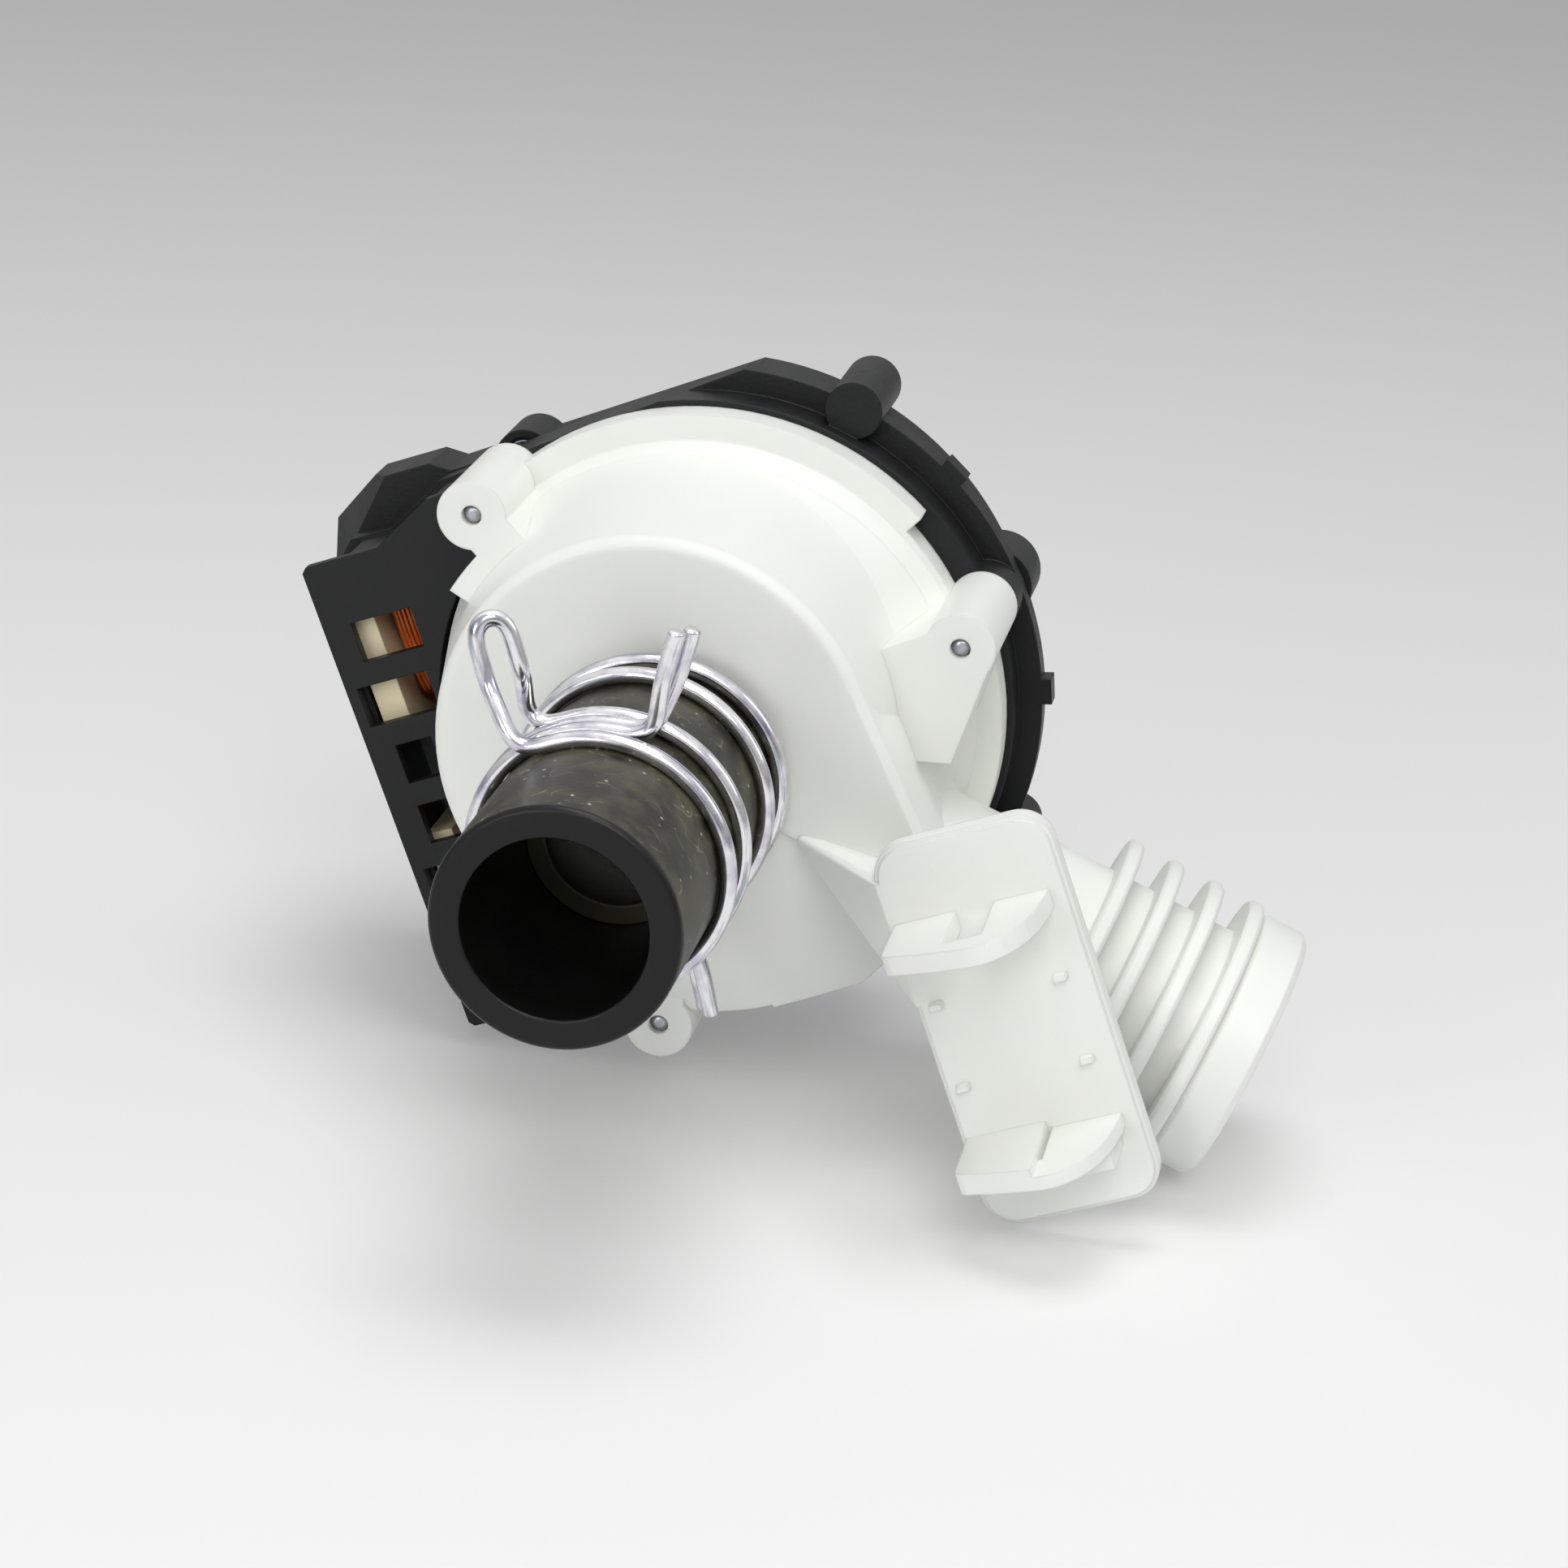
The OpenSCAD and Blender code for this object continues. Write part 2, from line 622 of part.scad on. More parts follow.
module volute_casing() {
  color("white") placed() difference() {
    union() {
      difference() {
        union() {
          casing_wall_body();
          scroll_lobe();
          outlet_duct();
        }
        slope_cut();
      }
      joint_flange();
      linear_extrude(ear_h) ear_plan();
      translate([0, 0, casing_depth - 1]) cylinder(r = spigot_r, h = spigot_len + 1);
      outlet_stub();
      plate_webs();
      mounting_plate();
    }
    translate([0, 0, -1]) cylinder(r = seal_seat_r, h = seal_seat_h + 1);
    translate([0, 0, -1]) cylinder(r = chamber_r, h = chamber_h + 1);
    translate([0, 0, chamber_h - overlap])
      cylinder(r1 = chamber_r, r2 = slope_start_r, h = chamber_top - chamber_h + overlap);
    translate([0, 0, chamber_top - 1]) cylinder(r = spigot_bore_r, h = spigot_end_z);
    outlet_passage();
    for (a = ear_angles) rotate([0, 0, a]) translate([ear_pitch_r, 0, -1]) cylinder(d = pilot_d, h = ear_h + 2);
  }
}

module inlet_hose() {
  lip = 0.6;
  color("#26251f") placed() rotate_extrude() polygon([
    [hose_seat_r, hose_z],
    [hose_r, hose_z],
    [hose_r, mouth_z - lip],
    [hose_r - lip, mouth_z],
    [hose_bore_d / 2, mouth_z],
    [hose_bore_d / 2, hose_step_z],
    [hose_seat_r, hose_step_z]]);
}

module front_hose_clamp() {
  color("#c9c9d6") placed() translate([0, 0, front_clamp_z]) hose_clamp();
}

// Fitted the other way round, with its ears turned down
module rear_hose_clamp() {
  color("#c9c9d6") placed() translate([0, 0, rear_clamp_z])
    rotate([0, 0, rear_clamp_turn]) rotate([180, 0, 0]) hose_clamp();
}

module casing_seal() {
  color("#1b1b1b") placed() translate([0, 0, seal_r + slip])
    rotate_extrude() translate([seal_ring_r, 0]) circle(r = seal_r, $fn = 32);
}

// Screws driven from the motor side into the ears' pilot holes
module casing_screws() {
  shank_r = pilot_d / 2 - run_gap;
  head_h = 2.6;
  color("#b9bcc2") placed() for (a = ear_angles) rotate([0, 0, a]) translate([ear_pitch_r, 0, 0]) {
    translate([0, 0, rim_back]) cylinder(r = shank_r, h = ear_h - 5 - rim_back);
    translate([0, 0, rim_back - head_h]) difference() {
      cylinder(r = well_r - 0.4, h = head_h);
      translate([0, 0, -1]) cylinder(r = 1.6, h = head_h, $fn = 6);
    }
  }
}

// Outline of the motor: round rim on the right, sloping shoulders and the coil box on the left.
// corner is how much is cut from the box's two left corners.
module motor_outline(inset, corner, left) {
  r = rim_r - inset;
  cut_y = sqrt(rim_r * rim_r - rim_cut_x * rim_cut_x) - inset;
  step_x = left + box_tab_w;
  intersection() {
    circle(r = r);
    translate([rim_cut_x, -2 * rim_r]) square([2 * rim_r, 4 * rim_r]);
  }
  polygon([
    [rim_cut_x + overlap, cut_y],
    [step_x + box_slope_w, box_top + box_rise - inset],
    [step_x, box_top - inset],
    [left + inset + corner, box_top - inset],
    [left + inset, box_top - inset - corner],
    [left + inset, box_bottom + inset + corner],
    [left + inset + corner, box_bottom + inset],
    [step_x, box_bottom + inset],
    [step_x + box_slope_w, box_bottom - box_rise + inset],
    [rim_cut_x + overlap, -cut_y]]);
}

// Coil box beside the casing, outlined in plan and clear of the casing's wall and ears
module box_plan(inset, corner, clear_r) {
  difference() {
    motor_outline(inset, corner, face_left);
    circle(r = clear_r);
    if (clear_r > 0) translate([0, -scroll_drop]) circle(r = scroll_r + clear_r - wall_r);
    else for (side = [0, 180]) rotate([side, 0, 0]) wedge(100, 134, 2 * rim_r);
    translate([-ear_pitch_r / 2, -2 * rim_r]) square([2 * rim_r, 4 * rim_r]);
    for (a = [upper_ear_angle, lower_ear_angle])
      rotate(a) translate([ear_pitch_r, 0]) circle(r = ear_r + 0.8 + inset);
  }
}

// Six windows in a column, the second and fifth reaching further left
module window_column() {
  for (i = [-2.5 : 1 : 2.5]) {
    wide = abs(i) == 1.5;
    outer = abs(i) == 2.5;
    x0 = face_left + (wide ? cover_wall : 4.5);
    y0 = box_mid + i * window_pitch - window_h / 2;
    x1 = outer ? face_left + 14.5 : -arc_out_r - 0.4;
    x2 = wide ? face_left + 13.4 : x1;
    translate([x0, y0]) square([x2 - x0, window_h]);
  }
}

module motor_frame() {
  color("#2a2a2b") placed() difference() {
    union() {
      translate([0, 0, rim_back]) linear_extrude(rim_t) {
        motor_outline(0, waist, box_left);
        at_angles(lobe_angles, lobe_pitch_r) circle(r = lobe_r);
        at_angles(catch_angles, rim_r) square([2.8, 4], center = true);
      }
      translate([0, 0, rim_back + 1]) linear_extrude(-rim_back - 1) intersection() {
        union() {
          circle(r = dish_r);
          at_angles(ear_angles, ear_pitch_r) circle(r = ear_r);
        }
        motor_outline(-ear_rise, waist, box_left);
      }
      translate([0, 0, rim_back + 1]) linear_extrude(2 * rim_t - 1) at_angles(lobe_angles, lobe_pitch_r) circle(r = lobe_r);
      translate([0, 0, rim_back + 1]) linear_extrude(box_front - cover_wall - rim_back - 1)
        box_plan(box_inset, waist, arc_in_r);
      translate([0, 0, box_front - cover_wall]) linear_extrude(cover_wall) box_plan(0, 0.8, arc_in_r);
    }
    difference() {
      union() {
        translate([0, 0, rim_back - 1]) linear_extrude(1 - rim_back - disc_t)
          intersection() {
            circle(r = dish_r - cover_wall);
            motor_outline(cover_wall - ear_rise, waist, face_left);
          }
        translate([0, 0, rim_back - 1]) linear_extrude(box_front - cover_wall - rim_back + 1)
          box_plan(cover_wall + box_inset, cavity_corner, arc_out_r);
        translate([0, 0, rim_back - 1]) linear_extrude(1 - rim_back - disc_t)
          box_plan(cover_wall + box_inset, cavity_corner, 0);
      }
      for (a = ear_angles) rotate([0, 0, a]) translate([ear_pitch_r, 0, rim_back - 2])
        cylinder(r = ear_r, h = 2 - rim_back + 1);
    }
    translate([0, 0, -disc_t - 1]) cylinder(r = can_r + slip, h = disc_t + 2);
    translate([0, 0, box_front - cover_wall - 1]) linear_extrude(cover_wall + 2) window_column();
    for (a = ear_angles) rotate([0, 0, a]) translate([ear_pitch_r, 0, rim_back - 1])
      cylinder(d = pilot_d + 0.8, h = 2 - rim_back);
    for (a = lobe_angles) rotate([0, 0, a]) translate([lobe_pitch_r, 0, rim_back - 1])
      cylinder(d = lobe_screw_d, h = 6);
  }
}

// Outline of the rear cover's shoulder, which stands out past the coil box above and below.
// corner is how much more is cut from its two left corners.
module shoulder_outline(inset, corner) {
  centre = [-0.6, 1];
  r = rim_r - 2 - inset;
  rise = sqrt(r * r - pow(rim_cut_x - centre[0], 2));
  corner_x = box_left + 10.8 + corner;
  corner_y = shoulder_rise - 6 - inset - corner;
  step_x = box_left + 21;
  high = shoulder_rise - inset;
  intersection() {
    translate(centre) circle(r = r);
    translate([rim_cut_x, -2 * rim_r]) square([2 * rim_r, 4 * rim_r]);
  }
  polygon([
    [rim_cut_x + overlap, centre[1] + rise],
    [step_x + 3, box_top + high - 2],
    [step_x, box_top + high],
    [corner_x, box_top + high],
    [box_left + inset, box_top + corner_y],
    [box_left + inset, box_bottom - corner_y],
    [corner_x, box_bottom - high],
    [step_x, box_bottom - high],
    [step_x + 3, box_bottom - high + 2],
    [rim_cut_x + overlap, centre[1] - rise]]);
}

// Room in front of the shoulder's left corners, which slope back from the coil box
module corner_slopes() {
  size = 40;
  for (s = [0, 1]) mirror([0, s, 0])
    translate([box_left, (s > 0 ? -box_bottom : box_top) + shoulder_rise - 6, shoulder_back])
      rotate([0, 0, 135]) rotate([0, -28, 0]) translate([0, -size, -size]) cube(2 * size);
}

// Outline of the deep box behind the shoulder, round the coils and the rotor can
module deep_outline(inset) {
  right = can_r + 4.8 - inset;
  left = box_left + inset;
  top = box_top - inset;
  bottom = box_bottom + inset;
  slant = 11;
  polygon([
    [right - slant, top],
    [left + 1, top],
    [left, top - 1],
    [left, bottom + 1],
    [left + 1, bottom],
    [right - slant, bottom],
    [right, bottom + slant],
    [right, top - slant]]);
}

// Wells round the casing screws, the widest beside the outlet, and lobes for the cover's own screws
module wells_plan() {
  for (i = [0 : len(ear_angles) - 1])
    rotate(ear_angles[i]) translate([ear_pitch_r, 0]) circle(r = well_r + (i == 1 ? 1.4 : 0.7) * cover_wall);
  at_angles(lobe_angles, lobe_pitch_r) circle(r = lobe_r);
}

// Back shell over the coils, with wells for the casing screws and slots for air
module rear_cover() {
  slot = [2.4, 20];
  color("#232324") placed() difference() {
    union() {
      translate([0, 0, shoulder_back]) linear_extrude(shoulder_depth) {
        shoulder_outline(0, 0);
        wells_plan();
      }
      translate([0, 0, cover_back]) linear_extrude(shoulder_back - cover_back + 1) deep_outline(0);
    }
    translate([0, 0, shoulder_back + cover_wall]) linear_extrude(shoulder_depth) difference() {
      intersection() {
        shoulder_outline(cover_wall, 7);
        motor_outline(cover_wall, waist, box_left);
      }
      wells_plan();
    }
    corner_slopes();
    translate([0, 0, cover_back + cover_wall]) linear_extrude(shoulder_back - cover_back + 1) deep_outline(cover_wall);
    for (a = ear_angles) rotate([0, 0, a]) translate([ear_pitch_r, 0, shoulder_back - 1])
      cylinder(r = well_r, h = shoulder_depth + 2);
    for (a = lobe_angles) rotate([0, 0, a]) translate([lobe_pitch_r, 0, shoulder_back - 1]) {
      cylinder(d = lobe_screw_d + 0.6, h = shoulder_depth + 2);
      cylinder(r = lobe_r - 1.2, h = lobe_seat_z - shoulder_back + 1);
    }
    for (i = [0 : 4], s = [-1, 1])
      translate([spool_x + 1 + 4.4 * i, s * leg_y - slot[1] / 2, cover_back - 1]) cube([slot[0], slot[1], cover_wall + 2]);
    for (s = [-1, 1]) translate([tab_x - 1, s * leg_y - tab_w / 2 - 0.5, cover_back - 1])
      cube([tab_t + 2, tab_w + 1, cover_wall + 2]);
  }
}

module cover_screws() {
  head_h = 2.2;
  socket_r = 1.2;
  color("#b9bcc2") placed() for (a = lobe_angles) rotate([0, 0, a]) translate([lobe_pitch_r, 0, lobe_seat_z]) {
    translate([0, 0, -overlap]) cylinder(r = lobe_screw_d / 2 - run_gap, h = rim_back + 4 - lobe_seat_z);
    translate([0, 0, -head_h]) difference() {
      cylinder(r = lobe_r - 1.5, h = head_h);
      translate([0, 0, -1]) cylinder(r = socket_r, h = head_h, $fn = 6);
    }
  }
}

// Sealed pot around the rotor, with the flange that closes the pump chamber
module rotor_can() {
  cushion_r = bush_r + cushion_t + slip;
  color("#343435") placed() difference() {
    union() {
      cylinder(r = can_flange_r, h = can_flange_t);
      translate([0, 0, rear_seat - can_wall]) cylinder(r = can_r, h = can_wall - rear_seat + 1);
      translate([0, 0, can_end]) cylinder(r = cushion_r + can_wall, h = rear_seat - can_end);
    }
    translate([0, 0, rear_seat]) cylinder(r = can_in_r, h = can_flange_t - rear_seat + 1);
    translate([0, 0, pocket_back]) cylinder(r = cushion_r, h = rear_seat - pocket_back + 1);
  }
}

// U-shaped laminated core: yoke at the left, two legs with pole arcs round the rotor
module stator_core() {
  leg_end = pole_r - 1.5;
  outer_y = leg_in + leg_w;
  color("#7d8085") placed() translate([0, 0, stack_back]) difference() {
    linear_extrude(stack_h) {
      translate([-core_back, -outer_y]) square([yoke_w, 2 * outer_y]);
      for (s = [-1, 1]) translate([-core_back, s > 0 ? leg_in : -outer_y])
        square([core_back + leg_end, leg_w]);
      for (s = [-1, 1]) intersection() {
        difference() {
          circle(r = outer_y - 4);
          circle(r = pole_r);
        }
        translate([-leg_end, s > 0 ? 3 : -leg_in - 2]) square([2 * leg_end, leg_in - 1]);
      }
    }
    translate([0, 0, -1]) cylinder(r = pole_r, h = stack_h + 2);
  }
}

// Spool on a leg, with end flanges and the block that covers the yoke front and back
module bobbin(side) {
  y = side * leg_y;
  spool_y = leg_w / 2 + spool_t;
  spool_z = stack_h / 2 + spool_t;
  color("#ece5d0") placed() difference() {
    union() {
      translate([bobbin_x, y - spool_y, stack_mid - spool_z]) cube([bobbin_len, 2 * spool_y, 2 * spool_z]);
      for (x = [bobbin_x, bobbin_x + bobbin_len - bobbin_flange_t])
        translate([x, y - coil_half_y - flange_over, stack_mid - coil_half_z])
          cube([bobbin_flange_t, 2 * (coil_half_y + flange_over), 2 * coil_half_z]);
      translate([cap_x, y - (side > 0 ? coil_half_y - 1 : leg_w / 2), stack_front + seat_gap])
        cube([bobbin_x + bobbin_flange_t - cap_x, coil_half_y - 1 + leg_w / 2, cap_front - stack_front - seat_gap]);
      translate([cap_x, y - coil_half_y + 3, cap_back])
        cube([bobbin_x + bobbin_flange_t - cap_x, 2 * coil_half_y - 6, stack_back - seat_gap - cap_back]);
    }
    translate([bobbin_x - 1, y - leg_w / 2 - core_gap / 2, stack_back - core_gap / 2])
      cube([bobbin_len + 2, leg_w + core_gap, stack_h + core_gap]);
  }
}

module upper_bobbin() { bobbin(1); }
module lower_bobbin() { bobbin(-1); }

// Inner layers of a winding, as one block round the spool
module coil_pack(side) {
  grow = pack_build;
  spool_y = leg_w / 2 + spool_t + slip;
  spool_z = stack_h / 2 + spool_t + slip;
  color("#a8521f") placed() translate([spool_x + coil_end_gap, side * leg_y, stack_mid])
    rotate([90, 0, 90]) linear_extrude(spool_len - 2 * coil_end_gap) difference() {
      translate([-spool_y - grow + slip, -spool_z - grow + slip])
        round_rect(2 * (spool_y + grow - slip), 2 * (spool_z + grow - slip), grow);
      square([2 * spool_y, 2 * spool_z], center = true);
    }
}

module upper_coil_pack() { coil_pack(1); }
module lower_coil_pack() { coil_pack(-1); }

// Outer layer of a winding: one wire laid round the block in even loops
coil_corner = pack_build + coil_wire_d / 2;
coil_run_y = leg_w / 2 + spool_t + pack_build + slip + coil_wire_d / 2 - coil_corner;
coil_run_z = stack_h / 2 + spool_t + pack_build + slip + coil_wire_d / 2 - coil_corner;
coil_pitch = (spool_len - coil_wire_d - 2 * coil_end_gap) / coil_loops;
coil_steps = 24;
coil_start = spool_x + coil_end_gap + coil_wire_d / 2;
function coil_corner_at(q) = [q == 0 || q == 3 ? coil_run_y : -coil_run_y, q < 2 ? coil_run_z : -coil_run_z];
function coil_point(i, side) =
  let (q = floor(i / 6) % 4, a = 90 * q + 18 * (i % 6), c = coil_corner_at(q))
  [coil_start + coil_pitch * i / coil_steps,
   side * leg_y + c[0] + coil_corner * cos(a),
   stack_mid + c[1] + coil_corner * sin(a)];
function coil_path(side) = [for (i = [5 : coil_steps * coil_loops - 6]) coil_point(i, side)];
echo(winding_gap = least_gap(coil_path(1), coil_wire_d, 12));

module upper_winding() {
  color("#d8743a") placed() wire(coil_path(1), coil_wire_d, 6, [1, 0, 0]);
}

module lower_winding() {
  color("#d8743a") placed() wire(coil_path(-1), coil_wire_d, 6, [1, 0, 0]);
}

// Flat blade terminals standing on the bobbins' rear blocks
tab_w = 6.3;
tab_t = 0.8;
tab_x = cap_x + 1.2;
tab_len = 12;
module terminal_tabs() {
  tip = 1.2;
  color("#d9d3b8") placed() for (s = [-1, 1])
    translate([tab_x + tab_t, s * leg_y, cap_back]) rotate([0, -90, 0]) linear_extrude(tab_t) difference() {
      polygon([
        [0, -tab_w / 2],
        [tip - tab_len, -tab_w / 2],
        [-tab_len, tip - tab_w / 2],
        [-tab_len, tab_w / 2 - tip],
        [tip - tab_len, tab_w / 2],
        [0, tab_w / 2]]);
      translate([-0.6 * tab_len, 0]) circle(d = 1.6, $fn = 24);
    }
}

// Plug in the can's mouth that holds the front bearing
module bearing_carrier() {
  color("#d6d6d2") placed()
    ring(can_in_r - slip, bush_r + cushion_t + slip, carrier_back, carrier_front + 1 - carrier_back);
}

module front_cushion() {
  color("#1c1c1c") placed()
    ring(bush_r + cushion_t, bush_r + slip / 2, carrier_back, carrier_front + 1 - carrier_back);
}

module front_bearing() {
  color("#8f8a80") placed() ring(bush_r, shaft_r + run_gap, carrier_back, carrier_front + 1.4 - carrier_back);
}

module rear_cushion() {
  color("#1c1c1c") placed()
    ring(bush_r + cushion_t, bush_r + slip / 2, pocket_back + slip, bearing_len - slip);
}

module rear_bearing() {
  color("#8f8a80") placed() ring(bush_r, shaft_r + run_gap, pocket_back + slip, bearing_len - slip);
}

module rotor_magnet() {
  color("#4a4a4f") placed() ring(rotor_r, shaft_r + 0.02, rotor_back, rotor_len);
}

module rotor_shaft() {
  tip = 0.5;
  color("#c4c7cc") placed() translate([0, 0, pocket_back + 2 * slip])
    bevel_disc(shaft_r, shaft_tip - pocket_back - 2 * slip, tip);
}

// Washers between the magnet's ends and the bearings
module thrust_washers() {
  color("#e6e2d6") placed() {
    ring(bush_r - 0.6, shaft_r + 0.02, rotor_front + slip / 2, washer_t);
    ring(bush_r - 0.6, shaft_r + 0.02, rotor_back - washer_t - slip / 2, washer_t);
  }
}

// Sector lug between two radii, centred on an angle
module lug(r_in, r_out, mid, h) {
  linear_extrude(h) intersection() {
    difference() {
      circle(r = r_out);
      circle(r = r_in);
    }
    wedge(mid - lug_angle / 2, mid + lug_angle / 2, r_out);
  }
}

// Driver fixed on the shaft: its lug picks the impeller up after part of a turn
module drive_dog() {
  color("#5f6a72") placed() {
    ring(dog_hub_r, shaft_r + 0.02, dog_z, dog_len);
    translate([0, 0, dog_z]) lug(dog_hub_r - overlap, hub_in_r - 0.4, 90, dog_len);
  }
}

module impeller() {
  blade_top = impeller_z + impeller_disc_t + blade_h;
  color("#e9e9e4") placed() difference() {
    union() {
      translate([0, 0, impeller_z]) cylinder(r = impeller_r, h = impeller_disc_t);
      translate([0, 0, impeller_z]) cylinder(r = hub_r, h = hub_top - impeller_z - 1);
      translate([0, 0, hub_top - 1]) cylinder(r1 = hub_r, r2 = hub_r - 1, h = 1);
      for (i = [0 : blade_count - 1]) rotate([0, 0, 360 * i / blade_count]) difference() {
        translate([hub_r - 1, -blade_t / 2, impeller_z + 0.5])
          cube([impeller_r - hub_r + 1.8, blade_t, blade_top - impeller_z - 0.5]);
        translate([impeller_r - 5, -blade_t, blade_top]) rotate([0, 35, 0]) cube([20, 2 * blade_t, 10]);
      }
    }
    difference() {
      translate([0, 0, impeller_z - 1]) cylinder(r = hub_in_r, h = hub_floor - impeller_z + 1);
      translate([0, 0, impeller_z + cap_t + slip]) lug(dog_hub_r + 0.3, hub_in_r + overlap, -90, hub_floor);
    }
    translate([0, 0, hub_floor - 1]) cylinder(r = shaft_r + run_gap, h = shaft_tip - hub_floor + 1.1);
  }
}

// Cap that shuts the lug chamber in the impeller's hub
module impeller_cap() {
  color("#d8d8d2") placed() ring(hub_in_r - slip / 2, shaft_r + seat_gap, impeller_z, cap_t);
}

volute_casing();
inlet_hose();
front_hose_clamp();
rear_hose_clamp();
casing_seal();
casing_screws();
motor_frame();
rear_cover();
cover_screws();
rotor_can();
stator_core();
upper_bobbin();
lower_bobbin();
upper_coil_pack();
lower_coil_pack();
upper_winding();
lower_winding();
terminal_tabs();
bearing_carrier();
front_bearing();
front_cushion();
rear_bearing();
rear_cushion();
rotor_magnet();
rotor_shaft();
thrust_washers();
drive_dog();
impeller();
impeller_cap();
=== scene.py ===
import bpy
import numpy as np
from mathutils import Matrix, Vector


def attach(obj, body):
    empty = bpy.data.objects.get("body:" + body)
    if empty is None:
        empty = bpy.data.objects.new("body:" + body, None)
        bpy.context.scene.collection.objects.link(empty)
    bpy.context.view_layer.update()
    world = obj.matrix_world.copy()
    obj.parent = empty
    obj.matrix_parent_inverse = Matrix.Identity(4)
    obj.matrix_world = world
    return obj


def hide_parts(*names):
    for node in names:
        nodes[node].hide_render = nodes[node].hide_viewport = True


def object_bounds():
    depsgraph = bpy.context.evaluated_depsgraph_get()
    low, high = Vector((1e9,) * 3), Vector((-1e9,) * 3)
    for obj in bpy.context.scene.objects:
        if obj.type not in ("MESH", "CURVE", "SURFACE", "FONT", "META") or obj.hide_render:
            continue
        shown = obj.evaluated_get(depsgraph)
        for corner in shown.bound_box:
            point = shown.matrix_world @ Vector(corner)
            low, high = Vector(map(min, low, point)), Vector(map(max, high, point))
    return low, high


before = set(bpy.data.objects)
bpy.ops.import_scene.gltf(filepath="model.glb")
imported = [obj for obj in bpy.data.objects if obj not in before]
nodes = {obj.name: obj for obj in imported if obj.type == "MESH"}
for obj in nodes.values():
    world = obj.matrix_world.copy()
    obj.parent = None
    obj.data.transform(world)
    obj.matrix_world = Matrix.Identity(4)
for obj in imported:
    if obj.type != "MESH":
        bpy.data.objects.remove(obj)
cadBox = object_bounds()
print("frame loaded with", len(nodes), "solids")

lay = {
    "lean": 22.0,  # degrees the pump lies over on the table
    "mouth": 96.3,  # mm from joint face to hose mouth
}


def polar(r, degrees, z=0.0):  # points at a radius, an angle and a height
    a = np.radians(np.asarray(degrees, float))
    return np.stack([r * np.cos(a), r * np.sin(a), z + 0 * a], -1)


def turned(points, degrees):  # points turned about the shaft
    c = np.cos(np.radians(degrees))
    s = np.sin(np.radians(degrees))
    x, y, z = np.moveaxis(points, -1, 0)
    return np.stack([x * c - y * s, x * s + y * c, z], -1)


# shaft coordinates in mm (z along the shaft, towards the inlet) turned into the shared frame in metres
def toFrame(points):
    x, y, z = np.moveaxis(turned(points, lay["lean"]), -1, 0)
    return np.stack([x, lay["mouth"] - z, y], -1) / 1000


# a sheet of points [u, v] becomes quads between neighbours, wrapped round in u or v where asked,
# ends capped flat. Where along is given, a map runs by that length in u and once round in v
def sheetPiece(name, points, wrapU=False, wrapV=True, caps=False, along=None):
    rows, cols = points.shape[:2]
    spansU = rows if wrapU else rows - 1
    spansV = cols if wrapV else cols - 1
    u, v = np.meshgrid(np.arange(spansU), np.arange(spansV), indexing="ij")
    u2 = (u + 1) % rows
    v2 = (v + 1) % cols
    corners = [u * cols + v, u2 * cols + v, u2 * cols + v2, u * cols + v2]
    faces = np.stack(corners, -1).reshape(-1, 4).tolist()
    if caps:
        faces += [list(range(cols)), list(range(rows * cols - 1, (rows - 1) * cols - 1, -1))]
    mesh = bpy.data.meshes.new(name)
    mesh.from_pydata(points.reshape(-1, 3).tolist(), [], faces)
    mesh.polygons.foreach_set("use_smooth", np.ones(len(mesh.polygons), bool))
    if along is not None:
        run = along[np.stack([u, u2, u2, u], -1)]
        around = np.stack([v, v, v + 1, v + 1], -1) / cols
        flat = np.zeros(2 * len(mesh.loops))  # the caps come last and keep zeros
        flat[:2 * run.size] = np.stack([run, around], -1).ravel()
        mesh.uv_layers.new(name="alongWire").data.foreach_set("uv", flat)
    mesh.update()
    piece = bpy.data.objects.new(name, mesh)
    bpy.context.scene.collection.objects.link(piece)
    return piece


def lengthAlong(path):  # mm from the path's start to each of its points
    return np.concatenate([[0], np.cumsum(np.linalg.norm(np.diff(path, axis=0), axis=1))])


wireEnd = {"draw": 0.22, "over": 0.12}  # share by which a cut end draws in, and the mm over which it fades


# a round wire: circles of radius r stand square to the path, turned by a fixed side direction,
# and draw in a little over the last quarter millimetre so that the cut ends look deburred
def wireSkin(path, r, side, sides):
    step = np.gradient(path, axis=0)
    t = step / np.linalg.norm(step, axis=1, keepdims=True)
    n = side - (t @ side)[:, None] * t
    n /= np.linalg.norm(n, axis=1, keepdims=True)
    b = np.cross(t, n)
    run = lengthAlong(path)
    toEnd = np.minimum(run, run[-1] - run)
    radius = r * (1 - wireEnd["draw"] * np.exp(-toEnd / wireEnd["over"]))
    a = np.linspace(0, 2 * np.pi, sides, endpoint=False)
    ring = np.cos(a)[None, :, None] * n[:, None] + np.sin(a)[None, :, None] * b[:, None]
    return path[:, None] + radius[:, None, None] * ring


# points at an even spacing along a polyline, then averaged with a bell curve of width soft, out to three
# widths, so that the corners turn as bends. The ends run on straight for the average
def evenBends(path, spacing, soft):
    run = lengthAlong(path)
    at = np.arange(0, run[-1], spacing)
    even = np.stack([np.interp(at, run, path[:, k]) for k in range(3)], -1)
    reach = int(3 * soft / spacing)
    bell = np.exp(-0.5 * (np.arange(-reach, reach + 1) * spacing / soft) ** 2)
    bell /= bell.sum()
    lead = even[0] + (even[0] - even[1]) * np.arange(reach, 0, -1)[:, None]
    tail = even[-1] + (even[-1] - even[-2]) * np.arange(1, reach + 1)[:, None]
    padded = np.concatenate([lead, even, tail])
    return np.stack([np.convolve(padded[:, k], bell, "valid") for k in range(3)], -1)


